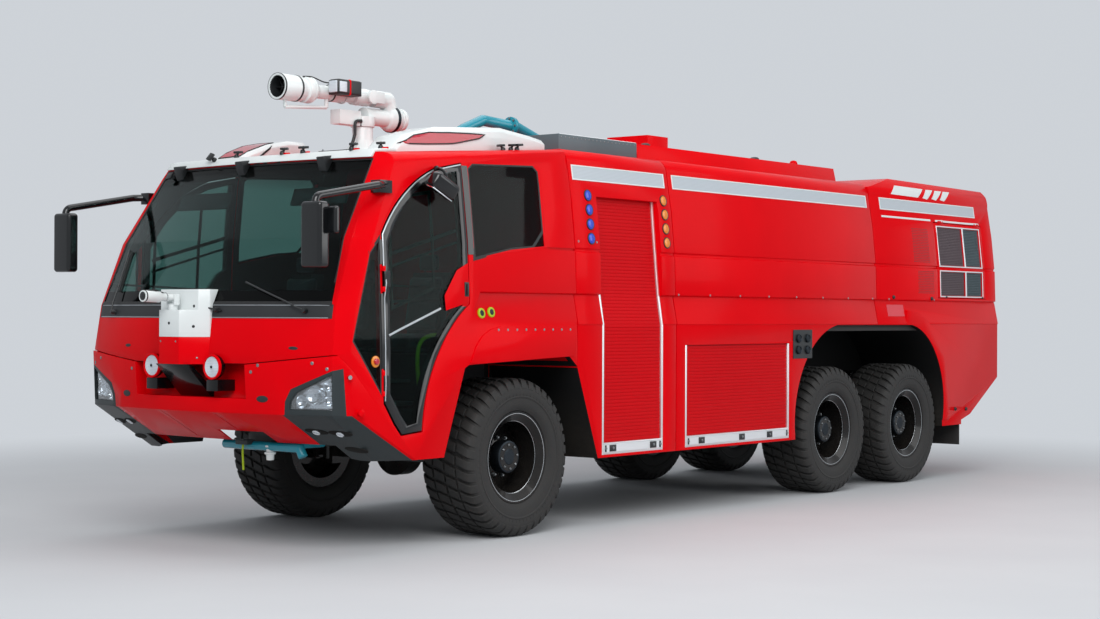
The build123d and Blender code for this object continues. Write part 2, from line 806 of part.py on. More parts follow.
gap = panel_gap
flap = engine_skin & block(half_width - 500, beyond, flap_front_y + gap, flap_back_y - gap, flap_low_z + gap, flap_high_z - gap)
grille_depth = 30
grille_outside = front_prism(body_face(grille_depth), flap_front_y, flap_back_y)
# columns: front y, back y, low z, high z
grille_places = [
    (7775, 8422, 2150, crease_z - 62),
    (8452, 8880, 2150, crease_z - 62),
    (7775, 8422, crease_z + 8, lifted(2965)),
    (8452, 8880, crease_z + 8, lifted(2965)),
]
for y0, y1, z0, z1 in grille_places:
    flap = flap - (block(half_width - 500, beyond, y0, y1, z0, z1) - grille_outside)
for y in (flap_front_y + 160, flap_back_y - 160):
    low_y, high_y = y - pin_length / 2, y + pin_length / 2
    pin = rod((flap_pin_x, low_y, flap_pin_z), (flap_pin_x, high_y, flap_pin_z), pin_radius)
    flap = flap + pin + block(flap_pin_x - 30, flap_pin_x, low_y, high_y, flap_pin_z - 16, flap_pin_z)
    bracket_z = flap_pin_z + pin_radius + seat_clearance
    bracket = block(flap_pin_x - 50, flap_pin_x + pin_radius, low_y, high_y, bracket_z, bracket_z + 12)
    engine_module = engine_module + bracket + other_side(bracket)

hatch = engine_skin & block(-hatch_half + gap, hatch_half - gap, bay_back - 20, body_end_y + 60,
                            hatch_low_z + gap, hatch_high_z - gap)
face_y = body_end_y - step_back
for s in (1, -1):
    x0, x1 = sorted((s * 240, s * 360))
    hatch = hatch + rod((x0, hatch_pin_y, hatch_pin_z), (x1, hatch_pin_y, hatch_pin_z), pin_radius)
    hatch = hatch + block(x0, x1, face_y - 8, hatch_pin_y, hatch_pin_z - 20, hatch_pin_z)
    for stub_x0, stub_x1 in ((x0 - 41, x0 - 1), (x1 + 1, x1 + 41)):
        engine_module = engine_module + rod((stub_x0, hatch_pin_y, hatch_pin_z), (stub_x1, hatch_pin_y, hatch_pin_z), pin_radius)
        engine_module = engine_module + block(stub_x0, stub_x1, face_y - 8, hatch_pin_y, hatch_pin_z, hatch_pin_z + 24)
nodes["engine_module"] = engine_module
nodes["engine_flap_left"] = flap
nodes["engine_flap_right"] = other_side(flap)
nodes["rear_hatch"] = hatch
nodes["engine"] = block(-430, 430, 6900, 8600, rail_top_z + seat_clearance, 2050)

# Marker lamps on the sides and the tail
# columns: y, low z, high z
marker_columns = [(990, lifted(2590), lifted(2980)), (2170, lifted(2590), lifted(2990))]
marker_radius = 52
lamp_seat = front_prism(body_face(-seat_clearance), 900, 2280)
markers = []
for y, z0, z1 in marker_columns:
    for k in range(4):
        z = z0 + (z1 - z0) * k / 3
        centre_x = half_width - 34 - (z - crease_z) * 0.11
        markers += both_sides(rod((centre_x - 40, y, z), (centre_x + 12, y, z), marker_radius) - lamp_seat)
tail_face = body_end_y + seat_clearance
for z0, z1 in ((1200, 1330), (1340, 1450), (1460, 1570)):
    markers += both_sides(block(half_width - 230, half_width - 60, tail_face, tail_face + 30, z0, z1))
corner_lamp = block(half_width - 330, half_width - 150, 9060, 9262, lifted(3140), lifted(3350))
corner_seat = front_prism(body_face(-seat_clearance, engine_roof_rise), engine_front, body_end_y + 100)
rear_seat = side_prism(offset(rear_profile, seat_clearance), -beyond, beyond)
markers += both_sides(corner_lamp - (corner_seat & rear_seat))
nodes["marker_lamps"] = markers

# Arch liners and mud flaps
liner = side_prism(offset(rear_arch_face(), -seat_clearance), half_width - 100, half_width - 60)
liner = liner & block(0, beyond, rear_arch_front_y, rear_arch_back_y, arch_top_z - 64, arch_top_z)
mud_flap = block(half_width - 570, half_width - 40, 8286, 8304, 370, 669 - seat_clearance)
nodes["arch_liners"] = both_sides(liner) + both_sides(mud_flap)

# Ladder on the right of the rear face
ladder_y = body_end_y + ladder_standoff
stiles = [
    rod((-ladder_x + s * ladder_half, ladder_y, 1190), (-ladder_x + s * ladder_half, ladder_y, roof_z), ladder_tube)
    for s in (1, -1)
]
rung_half = ladder_half - 5
rungs = [
    rod((-ladder_x - rung_half, ladder_y, 1260 + 300 * k), (-ladder_x + rung_half, ladder_y, 1260 + 300 * k), 12)
    for k in range(8)
]
feet = []
for z in (1330, 2230, lifted(3080)):
    face = body_end_y
    if z > band_high_z:
        face = face_y - 10 * (z - band_high_z - 10) / (roof_z - band_high_z - 10)
    for s in (1, -1):
        foot_x = -ladder_x + s * ladder_half
        feet.append(block(foot_x - 10, foot_x + 10, face + seat_clearance, ladder_y + 5, z - 12, z + 12))
nodes["rear_ladder"] = stiles[0] + stiles[1:] + rungs + feet


# Roof
top_edge = 40
tank_top = front_prism(outline([
    (-tank_top_half, roof_z + seat_clearance), (tank_top_half, roof_z + seat_clearance),
    (tank_top_half - top_edge, tank_top_z), (-tank_top_half + top_edge, tank_top_z),
]), tank_top_front_y, tank_top_back_y)
tank_top = tank_top + block(350, 850, 2700, 3050, tank_top_z - 5, tank_top_z + 120)
tank_top = tank_top - block(-lid_half + 60, lid_half - 60, lid_front_y + 60, lid_back_y - 60, tank_top_z - 150, tank_top_z + 10)
lid = block(-lid_half, lid_half, lid_front_y, lid_back_y, tank_top_z + seat_clearance, lid_top_z)
for y in (lid_front_y + 200, lid_back_y - 200):
    low_y, high_y = y - pin_length / 2, y + pin_length / 2
    lid = lid + rod((lid_pin_x, low_y, lid_pin_z), (lid_pin_x, high_y, lid_pin_z), pin_radius)
    lid = lid + block(lid_pin_x, -lid_half + 5, low_y, high_y, lid_pin_z - pin_radius, lid_pin_z + pin_radius)
    for stub_y0, stub_y1 in ((low_y - 41, low_y - 1), (high_y + 1, high_y + 41)):
        tank_top = tank_top + rod((lid_pin_x, stub_y0, lid_pin_z), (lid_pin_x, stub_y1, lid_pin_z), pin_radius)
        tank_top = tank_top + block(lid_pin_x - pin_radius, lid_pin_x, stub_y0, stub_y1, tank_top_z - 5, lid_pin_z)
nodes["tank_top"] = tank_top
nodes["tank_lid"] = lid
well_half_x = tank_top_half
nodes["roof_well"] = block(
    -well_half_x, well_half_x, well_front_y, well_back_y, roof_z + seat_clearance, tank_top_z
) - block(
    -well_half_x + well_wall, well_half_x - well_wall, well_front_y + well_wall, well_back_y - well_wall,
    roof_z - 10, tank_top_z + 10,
)

# Pipes: the delivery pipe over the cab roof and the feed pipe under the bumper
pipe_x = half_width - 1000
roof_pipe = pipe([
    (pipe_x, 40, roof_z + 30), (pipe_x, 340, roof_z + 190), (pipe_x, 600, roof_z + 290),
    (pipe_x, 1090, roof_z + 265), (pipe_x, 1440, roof_z + 160), (pipe_x, 1440, roof_z + 0.3),
], pipe_radius, 60)
flange_start = Vector(pipe_x, 985, roof_z + 271)
roof_pipe = roof_pipe + rod(tuple(flange_start), (pipe_x, 1025, roof_z + 269), pipe_flange_radius)
feed_y, feed_z = -1930, 828
feed_pipe = round_pipe([
    (-120, feed_y, feed_z), (rail_x, feed_y, feed_z), (rail_x, rail_front_y - seat_clearance, feed_z),
], 38)
feed_pipe = feed_pipe + round_pipe([(rail_x, feed_y, feed_z), (760, feed_y, feed_z), (800, feed_y, 760)], 38)
nodes["pipes"] = [roof_pipe, feed_pipe]

# Roof fairings and the visor over the windscreen
def roof_pod(points, x0, x1, edge):
    """A pod from its side outline, with its two long top edges planed off."""
    full = outline(points)
    lowered = outline([(y, z - edge) for y, z in points])
    sides = [
        loft([Plane.YZ.offset(x0) * lowered, Plane.YZ.offset(x0 + edge) * full], ruled=True),
        loft([Plane.YZ.offset(x1 - edge) * full, Plane.YZ.offset(x1) * lowered], ruled=True),
    ]
    return side_prism(full, x0 + edge, x1 - edge) + sides


fairing_long = roof_pod([
    (-1250, roof_z - 290), (-1250, roof_z - 152), (-1100, roof_z - 10), (-700, roof_z + 90), (150, roof_z + 150),
    (560, roof_z + 110), (cab_back_y - 2, roof_z + 84), (cab_back_y - 2, roof_z - 100),
], half_width - 740, half_width - 380, 40)
fairing_short = roof_pod([
    (-1290, roof_z - 240), (-1290, roof_z - 153), (-1130, roof_z - 60), (-910, roof_z + 20), (-660, roof_z + 72),
    (-460, roof_z + 74), (-450, roof_z - 200),
], -half_width + 400, -half_width + 790, 35)
visor_half = windscreen_high_half - 10
visor = (cab_form(-visor_thickness) - cab_form(-seat_clearance)) & block(
    -visor_half, visor_half, front_limit, -1330, windscreen_top_z + 8, roof_z + 50,
)
visor = visor - fairing_long - fairing_short
nodes["fairings"] = [fairing_long - cab_form(-seat_clearance), fairing_short - cab_form(-seat_clearance), visor]

# Roof turret
flare_low, flare_high = roof_z - 60, roof_z + 60
column = Pos(0, turret_y, 0) * revolve(Plane.XZ * outline([
    (0.01, roof_z - 190), (200, roof_z - 190), (200, flare_low), (150, flare_low + 15),
    (column_radius, flare_high), (column_radius, column_top_z), (0.01, column_top_z),
]), Axis.Z)
base = block(-170, 170, turret_y - 330, turret_y + 200, roof_z - 190, flare_low + 5) + column
nodes["roof_turret_base"] = base - cab_form(-seat_clearance)

ball_y = -85
collar_low = column_top_z + seat_clearance
swivel = rod((0, turret_y, collar_low), (0, turret_y, swivel_top_z), 108)
swivel = swivel + round_pipe([
    (0, turret_y, lower_tube_z), (0, ball_y, lower_tube_z), (0, ball_y - 55, pitch_z), (0, pitch_y + 92, pitch_z),
], tube_radius)
swivel = swivel + turned_along_y([
    (ball_y - 110, 0.01), (ball_y - 105, 50), (ball_y - 65, 100), (ball_y - 15, 118), (ball_y + 30, 114),
    (ball_y + 70, 96), (ball_y + 90, 92), (ball_y + 90, 104), (ball_y + 125, 104), (ball_y + 150, 80), (ball_y + 150, 0.01),
], lower_tube_z)
swivel = swivel + block(-60, 60, turret_y - 340, turret_y - 80, column_top_z + 4, column_top_z + 130)
for s in (1, -1):
    x0, x1 = sorted((s * cheek_x, s * (cheek_x + cheek_plate)))
    swivel = swivel + rod((x0, pitch_y, pitch_z), (x1, pitch_y, pitch_z), 62)
    swivel = swivel + block(x0, x1, pitch_y, pitch_y + 130, pitch_z - 50, pitch_z + 50)
    x0, x1 = sorted((s * 60, s * (cheek_x + cheek_plate)))
    swivel = swivel + block(x0, x1, pitch_y + 105, pitch_y + 135, pitch_z - 50, pitch_z + 50)
hose_radius = 14
hose_x = 60 + hose_radius + seat_clearance
hose = pipe([
    (hose_x, turret_y - 90, column_top_z + 45), (hose_x, turret_y - 170, column_top_z + 40),
    (hose_x, turret_y - 170, flare_high + 30), (hose_x, turret_y - 225, flare_low + 12),
], hose_radius, 40)
nodes["roof_turret_swivel"] = swivel + hose

trunnion_half = cheek_x - 0.3
barrel = turned_along_y([
    (pitch_y + 78, 0.01), (pitch_y + 72, 30), (pitch_y + 50, 60), (pitch_y + 20, 76), (pitch_y - 20, 78),
    (pitch_y - 58, 76), (-585, 76), (-600, 60), (-700, 58), (-720, 74), (-860, 74), (-880, 58), (-1040, 62),
    (-1060, 86), (-1116, 112), (-1180, 112), (-1190, 96), (-1228, 96), (-1240, 112), (nozzle_y, 112),
    (nozzle_y, 94), (nozzle_y + 20, 86), (nozzle_y + 200, 78), (nozzle_y + 200, 0.01),
], pitch_z)
barrel = barrel + rod((-trunnion_half, pitch_y, pitch_z), (trunnion_half, pitch_y, pitch_z), 50)
barrel = barrel + block(60, 190, -930, -660, pitch_z - 25, pitch_z + 100)
rod_z = pitch_z - 165
barrel = barrel + rod((0, nozzle_y + 90, rod_z), (0, -900, rod_z + 35), 15)
barrel = barrel + rod((0, nozzle_y + 90, rod_z), (0, nozzle_y + 90, pitch_z - 90), 15)
barrel = barrel + rod((0, -900, rod_z + 35), (0, -900, pitch_z - 40), 18)
nodes["roof_turret_barrel"] = barrel

# Bumper turret
plan = outline(bracket_plan)
nodes["turret_bracket"] = plan_prism(plan, bracket_low_z, bracket_top_z) - cab_form(-seat_clearance)
housing = plan_prism(plan, bracket_top_z + seat_clearance, turret_box_top_z) - cab_form(-seat_clearance)
nodes["turret_housing"] = housing - block(-400, 400, -2700, monitor_y + 65, ledge_z, turret_box_top_z + 100)
recess_floor = 1235 + seat_clearance
strut = side_prism(outline([
    (-2615, bracket_low_z - seat_clearance), (-2560, bracket_low_z - seat_clearance),
    (recess_back_y - seat_clearance, 1290), (recess_back_y - seat_clearance, recess_floor), (-2350, recess_floor),
]), -185, 185)
lamp_arm = block(300, 430, work_lamp_front_y + 10, recess_back_y - seat_clearance, 1290, 1379)
nodes["turret_struts"] = [strut] + both_sides(lamp_arm)

bar_z = ledge_z + 40
head = Pos(0, monitor_y, (ledge_z + seat_clearance + bar_z) / 2) * Cylinder(38, bar_z - ledge_z - seat_clearance)
head = head + block(-50, 50, monitor_y - 25, monitor_y + 25, bar_z - 2, bar_z + 10)
for s in (1, -1):
    x0, x1 = sorted((s * 36, s * 50))
    head = head + block(x0, x1, monitor_y - 25, monitor_y + 25, bar_z, monitor_z + 25)
nodes["bumper_turret_head"] = head
nozzle = rod((-35.7, monitor_y, monitor_z), (35.7, monitor_y, monitor_z), 24)
nozzle = nozzle + rod((0, monitor_y - 5, monitor_z), (0, -2760, monitor_z + 4), 33)
nodes["bumper_turret_barrel"] = nozzle + rod((0, -2740, monitor_z + 3), (0, turret_front_y, monitor_z + 8), 46)

# Running gear
casing_reach = casing_half + seat_clearance
shaft_start = casing_y + casing_reach
shaft_end = casing_y - casing_reach
nodes["propshafts"] = [
    rod((0, shaft_start, axle_height), (0, middle_axle_y + shaft_end, axle_height), 60),
    rod((0, middle_axle_y + shaft_start, axle_height), (0, rear_axle_y + shaft_end, axle_height), 60),
]
nodes["frame_rails"] = frame_rails()
nodes["front_axle"] = front_axle()
nodes["rear_axles"] = [rear_axle(middle_axle_y), rear_axle(rear_axle_y)]
nodes["springs"] = [
    Pos(s * spring_x, y, 0) * spring()
    for y in (0, middle_axle_y, rear_axle_y)
    for s in (1, -1)
]
for side, s in (("left", 1), ("right", -1)):
    turned = Rot(0, 0, 0 if s == 1 else 180)
    nodes["knuckle_" + side] = turned * knuckle()
    for name, y in wheel_places:
        spot = Pos(s * wheel_centre_x, y, axle_height) * turned
        nodes["tyre_" + name + "_" + side] = spot * tyre()
        nodes["rim_" + name + "_" + side] = spot * rim()

shift = Location((0, -(turret_front_y + tail_reach_y) / 2, 0))
os.makedirs("parts", exist_ok=True)
for name, shape in nodes.items():
    solids = shape if isinstance(shape, list) else [shape]
    solids = [solid for item in solids for solid in item.solids()]
    export_step(Compound(children=[solid.moved(shift) for solid in solids]), "parts/" + name + ".step")
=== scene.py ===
import json
import math

import bmesh
import bpy
from mathutils import Matrix, Vector
from mathutils.bvhtree import BVHTree

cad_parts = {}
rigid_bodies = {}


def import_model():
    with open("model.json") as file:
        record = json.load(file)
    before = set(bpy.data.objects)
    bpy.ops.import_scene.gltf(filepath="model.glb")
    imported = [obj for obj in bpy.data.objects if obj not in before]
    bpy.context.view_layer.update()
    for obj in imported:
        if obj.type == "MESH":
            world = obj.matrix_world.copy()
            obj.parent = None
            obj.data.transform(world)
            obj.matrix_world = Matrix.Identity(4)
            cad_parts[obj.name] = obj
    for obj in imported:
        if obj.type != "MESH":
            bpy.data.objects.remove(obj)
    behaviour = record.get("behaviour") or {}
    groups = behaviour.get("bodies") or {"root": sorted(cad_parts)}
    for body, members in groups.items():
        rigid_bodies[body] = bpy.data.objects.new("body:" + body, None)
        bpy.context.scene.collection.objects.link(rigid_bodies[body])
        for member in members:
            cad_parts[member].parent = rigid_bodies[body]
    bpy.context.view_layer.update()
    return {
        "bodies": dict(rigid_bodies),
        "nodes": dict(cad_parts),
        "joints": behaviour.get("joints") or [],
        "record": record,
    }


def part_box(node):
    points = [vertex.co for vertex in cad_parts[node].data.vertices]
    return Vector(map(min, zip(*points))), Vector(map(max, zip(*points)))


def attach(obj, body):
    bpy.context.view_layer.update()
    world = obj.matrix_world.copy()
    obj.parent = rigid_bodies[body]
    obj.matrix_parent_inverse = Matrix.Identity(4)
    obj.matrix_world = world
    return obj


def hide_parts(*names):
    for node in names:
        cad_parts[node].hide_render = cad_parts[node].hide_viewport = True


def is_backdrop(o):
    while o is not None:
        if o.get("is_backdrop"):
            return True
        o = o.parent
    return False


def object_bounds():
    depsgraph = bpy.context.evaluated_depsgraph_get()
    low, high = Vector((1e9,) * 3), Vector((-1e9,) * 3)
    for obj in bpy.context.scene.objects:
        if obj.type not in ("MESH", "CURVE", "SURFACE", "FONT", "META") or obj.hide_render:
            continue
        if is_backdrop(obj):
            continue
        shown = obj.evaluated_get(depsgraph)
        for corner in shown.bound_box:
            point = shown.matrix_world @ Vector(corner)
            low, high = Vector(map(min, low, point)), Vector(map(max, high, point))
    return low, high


# Airport crash tender on six wheels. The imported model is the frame, and everything here dresses it.
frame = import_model()
nodes = frame["nodes"]
scene = bpy.context.scene
bodyOf = {node: body for body, held in frame["record"]["behaviour"]["bodies"].items() for node in held}
tyreLow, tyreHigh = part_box("tyre_front_left")
axleY = (tyreLow[1] + tyreHigh[1]) / 2  # every y below is counted from the front axle
print("frame loaded:", len(nodes), "nodes")


# Colours and nodes
def hexColour(text):
    channels = [int(text[i:i + 2], 16) / 255 for i in (1, 3, 5)]
    return (*[c / 12.92 if c <= 0.04045 else ((c + 0.055) / 1.055) ** 2.4 for c in channels], 1.0)


def addNode(tree, kind, settings=None, links=None):
    node = tree.nodes.new(kind)
    for name, value in (settings or {}).items():
        if isinstance(name, int) or name in node.inputs:
            node.inputs[name].default_value = value
        else:
            setattr(node, name, value)
    for name, source in (links or {}).items():
        tree.links.new(source, node.inputs[name])
    return node


def perMetre(millimetres):
    return 1000 / millimetres


def noise(tree, place, millimetres, detail, roughness=0.5):
    settings = {"Scale": perMetre(millimetres), "Detail": detail, "Roughness": roughness}
    return addNode(tree, "ShaderNodeTexNoise", settings, {"Vector": place}).outputs["Fac"]


def mixed(tree, factor, first, second):
    # two hex colours by a factor; the first may also be another node's output
    known = {7: hexColour(second)}
    links = {0: factor}
    if isinstance(first, str):
        known[6] = hexColour(first)
    else:
        links[6] = first
    return addNode(tree, "ShaderNodeMix", {"data_type": "RGBA", **known}, links).outputs[2]


def ranged(tree, value, low, high, start=0.0, end=1.0, ease="LINEAR"):
    settings = {"From Min": start, "From Max": end, "To Min": low, "To Max": high, "interpolation_type": ease}
    return addNode(tree, "ShaderNodeMapRange", settings, {"Value": value}).outputs["Result"]


def calculated(tree, operation, first, second, clamp=False):
    # each operand is a number or another node's output
    settings, links = {"operation": operation, "use_clamp": clamp}, {}
    for place, operand in enumerate((first, second)):
        (settings if isinstance(operand, (int, float)) else links)[place] = operand
    return addNode(tree, "ShaderNodeMath", settings, links).outputs["Value"]


def bumped(tree, height, strength, distance):
    settings = {"Strength": strength, "Distance": distance}
    return addNode(tree, "ShaderNodeBump", settings, {"Height": height}).outputs["Normal"]


def plugged(tree, shader, colour, rough=None, normal=None):
    for name, source in (("Base Color", colour), ("Roughness", rough), ("Normal", normal)):
        if source:
            tree.links.new(source, shader.inputs[name])


def blended(tree, factor, shader, other):
    links = {0: factor, 1: shader.outputs["BSDF"], 2: other}
    blend = addNode(tree, "ShaderNodeMixShader", {}, links)
    tree.links.new(blend.outputs["Shader"], tree.nodes["Material Output"].inputs["Surface"])


def startMaterial(name, shaderValues):
    material = bpy.data.materials.new(name)
    material.use_nodes = True
    tree = material.node_tree
    shader = tree.nodes["Principled BSDF"]
    for key, value in shaderValues.items():
        shader.inputs[key].default_value = value
    place = addNode(tree, "ShaderNodeTexCoord").outputs["Object"]
    return material, tree, shader, place


# Sprayed enamels: a clear glossy skin over the colour, with road dust that thins out upwards
enamels = {
    "redEnamel": {"colour": "#E3030F", "deep": "#CB020C", "gloss": 0.26, "coat": 0.02, "shine": 0.04, "dust": 0.02},
    "whiteEnamel": {"colour": "#E2E7E7", "deep": "#D2D8D7", "gloss": 0.28, "coat": 0.4, "shine": 0.2, "dust": 0.06},
    "tealEnamel": {"colour": "#1E93A6", "deep": "#14798C", "gloss": 0.25, "coat": 0.6, "shine": 0.2, "dust": 0.1},
    "greyEnamel": {"colour": "#33393B", "deep": "#282E30", "gloss": 0.45, "coat": 0.1, "shine": 0.2, "dust": 0.1},
    "blackEnamel": {"colour": "#0B0C0E", "deep": "#070809", "gloss": 0.26, "coat": 0.35, "shine": 0.2, "dust": 0.14},
    "yellowEnamel": {"colour": "#A9C21E", "deep": "#93AA14", "gloss": 0.35, "coat": 0.3, "shine": 0.2, "dust": 0.1},
    "shutterEnamel": {"colour": "#CB0410", "deep": "#BB030E", "gloss": 0.4, "coat": 0.02, "shine": 0.06, "dust": 0.05},
    "wellEnamel": {"colour": "#5C6B70", "deep": "#4F5D62", "gloss": 0.4, "coat": 0.1, "shine": 0.2, "dust": 0.1},
    "reflectiveFilm": {"colour": "#D8404A", "deep": "#CC3540", "gloss": 0.3, "coat": 0.4, "shine": 0.2, "dust": 0.05},
    # matte black: inside the wheel arches and on the fog lamp pads, and as painted shade on the sheet behind the rear
    # grille cells
    "archCoating": {"colour": "#0B0C0D", "deep": "#070808", "gloss": 0.75, "coat": 0.0, "shine": 0.2, "dust": 0.25},
}
enamelCommon = {
    "dustColour": "#6E6459", "dustLow": 0.3, "dustTop": 1.25, "patchMillimetres": 900, "speckMillimetres": 60,
    "grainMillimetres": 14, "grainHeight": 0.0004,  # orange peel is about 2 mm, drawn coarser so that it shows
}


def makeEnamel(name, look, common):
    material, tree, shader, place = startMaterial(name, {
        "IOR": 1.45, "Specular IOR Level": look["shine"], "Coat Weight": look["coat"], "Coat Roughness": 0.05,
        "Coat IOR": 1.4,
    })
    colour = mixed(tree, noise(tree, place, common["patchMillimetres"], 4), look["deep"], look["colour"])
    split = addNode(tree, "ShaderNodeSeparateXYZ", {}, {"Vector": place})
    height = ranged(tree, split.outputs["Z"], look["dust"], 0.0, common["dustLow"], common["dustTop"])
    specks = noise(tree, place, common["speckMillimetres"], 8, 0.75)
    dust = calculated(tree, "MULTIPLY", height, specks, True)
    rough = ranged(tree, dust, look["gloss"] - 0.04, look["gloss"] + 0.3)
    grain = noise(tree, place, common["grainMillimetres"], 2)
    plugged(tree, shader, mixed(tree, dust, colour, common["dustColour"]), rough,
            bumped(tree, grain, 0.15, common["grainHeight"]))
    return material


# Moulded plastics and rubbers: no clear skin, a fine spark-eroded grain, dull where it is worn
mouldings = {
    "absBlack": {"colour": "#101214", "worn": "#1C1F21", "gloss": 0.42, "grain": 3, "height": 0.0004},
    "absGloss": {"colour": "#08090B", "worn": "#0E1012", "gloss": 0.12, "grain": 40, "height": 0.0001},
    "trimDark": {"colour": "#191B1D", "worn": "#24272A", "gloss": 0.6, "grain": 4, "height": 0.0005},
    "gasketRubber": {"colour": "#0C0C0D", "worn": "#161617", "gloss": 0.55, "grain": 6, "height": 0.0003},
    "hoseRubber": {"colour": "#0E0E10", "worn": "#1B1B1D", "gloss": 0.5, "grain": 5, "height": 0.0005},
    "flapRubber": {"colour": "#15161A", "worn": "#33302C", "gloss": 0.75, "grain": 12, "height": 0.001},
    # grilleBack is the flat sheet behind the front grille cells, standing for what is seen through the mesh
    "grilleBack": {"colour": "#4E4440", "worn": "#5B504B", "gloss": 0.7, "grain": 6, "height": 0.0004},
    "liftedPadding": {"colour": "#23272B", "worn": "#2F3439", "gloss": 0.8, "grain": 2.5, "height": 0.0006},
}


def makeMoulding(name, look):
    material, tree, shader, place = startMaterial(name, {"IOR": 1.5})
    wear = noise(tree, place, 220, 6, 0.7)
    rough = ranged(tree, wear, look["gloss"] - 0.08, look["gloss"] + 0.1)
    normal = bumped(tree, noise(tree, place, look["grain"], 2), 0.3, look["height"])
    plugged(tree, shader, mixed(tree, wear, look["colour"], look["worn"]), rough, normal)
    return material


# Bare metals: brushed along one axis, with a little dirt in the strokes
metals = {
    "anodisedAluminium": {"colour": "#C4C8CB", "dirt": "#8E9397", "gloss": 0.38, "stroke": (4, 300, 4)},
    "brightTrim": {"colour": "#F4F5F6", "dirt": "#DADDE0", "gloss": 0.42, "stroke": (4, 200, 4)},
    "polishedSteel": {"colour": "#D5D7D8", "dirt": "#A4A7A9", "gloss": 0.18, "stroke": (30, 30, 30)},
    "zincScrew": {"colour": "#9EA2A4", "dirt": "#6B6E70", "gloss": 0.35, "stroke": (8, 8, 8)},
    "chromeReflector": {"colour": "#E8EBEE", "dirt": "#D8DCE0", "gloss": 0.06, "stroke": (60, 60, 60)},
    "grilleWire": {"colour": "#8C7E83", "dirt": "#6F6468", "gloss": 0.5, "stroke": (20, 20, 20)},
    "gunMetal": {"colour": "#3A4046", "dirt": "#22272B", "gloss": 0.45, "stroke": (20, 20, 20)},
}


def makeMetal(name, look):
    material, tree, shader, place = startMaterial(name, {"Metallic": 1.0})
    scale = tuple(perMetre(mm) for mm in look["stroke"])
    stretched = addNode(tree, "ShaderNodeMapping", {"Scale": scale}, {"Vector": place}).outputs["Vector"]
    strokes = noise(tree, stretched, 1000, 5, 0.65)
    rough = ranged(tree, strokes, look["gloss"] - 0.05, look["gloss"] + 0.12)
    plugged(tree, shader, mixed(tree, strokes, look["colour"], look["dirt"]), rough)
    return material


# Lenses and window glass: float glass with a body tint, and moulded polycarbonate lenses
lenses = {
    "clearLens": {"colour": "#E9EEF2", "through": 0.92, "gloss": 0.03},
    "frostLens": {"colour": "#DDE6EE", "through": 0.15, "gloss": 0.2},
    "bandLens": {"colour": "#C3CCD3", "through": 0.1, "gloss": 0.22},
    "blueLens": {"colour": "#1B3FD0", "through": 0.1, "gloss": 0.1},
    "amberLens": {"colour": "#F08A12", "through": 0.1, "gloss": 0.1},
    "redLens": {"colour": "#C01030", "through": 0.1, "gloss": 0.08},
}


def makeLens(name, look):
    material, tree, shader, place = startMaterial(name, {
        "IOR": 1.58, "Transmission Weight": look["through"], "Roughness": look["gloss"],
    })
    waves = {"Scale": perMetre(40), "Distortion": 0.3, "bands_direction": "Z"}
    ribs = addNode(tree, "ShaderNodeTexWave", waves, {"Vector": place}).outputs["Fac"]
    bright = hexColour(look["colour"])
    dim = tuple(0.82 * c for c in bright[:3]) + (1,)
    shade = addNode(tree, "ShaderNodeMix", {"data_type": "RGBA", 6: dim, 7: bright}, {0: ribs}).outputs[2]
    plugged(tree, shader, shade, None, bumped(tree, ribs, 0.2, 0.001))
    return material


windowTint = {
    "glassWindscreen": {"mirror": 1.18, "colour": "#93B0AB", "band": "#3A4A48", "bandLow": 3.0, "bandHigh": 3.1,
                        "fritTop": 2.085},
    "glassSide": {"mirror": 1.13, "colour": "#6C918B", "band": "#58736F", "bandLow": 3.05, "bandHigh": 3.15,
                  "fritTop": 0.0},
}


def makeWindow(name, look):
    # float glass, tinted through, with a printed black edge along the bottom and a darker band at the top
    material, tree, shader, place = startMaterial(name, {"IOR": look["mirror"], "Roughness": 0.02})
    height = addNode(tree, "ShaderNodeSeparateXYZ", {}, {"Vector": place}).outputs["Z"]
    tint = mixed(tree, ranged(tree, height, 0.0, 1.0, look["bandLow"], look["bandHigh"]), look["colour"], look["band"])
    frit = calculated(tree, "LESS_THAN", height, look["fritTop"])
    through = calculated(tree, "SUBTRACT", 1.0, frit)
    edged = mixed(tree, frit, tint, "#050606")
    plugged(tree, shader, edged)
    tree.links.new(through, shader.inputs["Transmission Weight"])
    ray = addNode(tree, "ShaderNodeLightPath")
    clear = calculated(tree, "MULTIPLY", ray.outputs["Is Shadow Ray"], through)
    clearShadow = addNode(tree, "ShaderNodeBsdfTransparent", {}, {"Color": edged})
    blended(tree, clear, shader, clearShadow.outputs["BSDF"])
    return material


tyreRubber = {
    "colour": "#131314", "dusty": "#3D3A35", "cordMillimetres": 4, "gloss": 0.72, "dustAmount": 0.36,
}


def makeTyreRubber(name, look):
    # vulcanised rubber, dull and grey with dust, and a fine moulded texture on the walls
    material, tree, shader, place = startMaterial(name, {"IOR": 1.52})
    dirt = noise(tree, place, 70, 9, 0.72)
    dust = ranged(tree, dirt, 0.05, look["dustAmount"], 0.35, 0.7)
    rough = ranged(tree, dirt, look["gloss"] - 0.15, look["gloss"] + 0.2)
    normal = bumped(tree, noise(tree, place, look["cordMillimetres"], 3), 0.4, 0.0012)
    plugged(tree, shader, mixed(tree, dust, look["colour"], look["dusty"]), rough, normal)
    return material


seatCloth = {"colour": "#2A2F36", "thread": "#454C55", "threadMillimetres": 6}  # thread of 1 mm, drawn coarser


def makeSeatCloth(name, look):
    # woven polyester, matt with a soft sheen
    material, tree, shader, place = startMaterial(name, {"IOR": 1.46, "Roughness": 0.9, "Sheen Weight": 0.3})
    weave = addNode(tree, "ShaderNodeTexChecker", {
        "Scale": perMetre(look["threadMillimetres"]), "Color1": hexColour(look["colour"]),
        "Color2": hexColour(look["thread"]),
    }, {"Vector": place})
    plugged(tree, shader, weave.outputs["Color"], None, bumped(tree, weave.outputs["Fac"], 0.3, 0.0006))
    return material


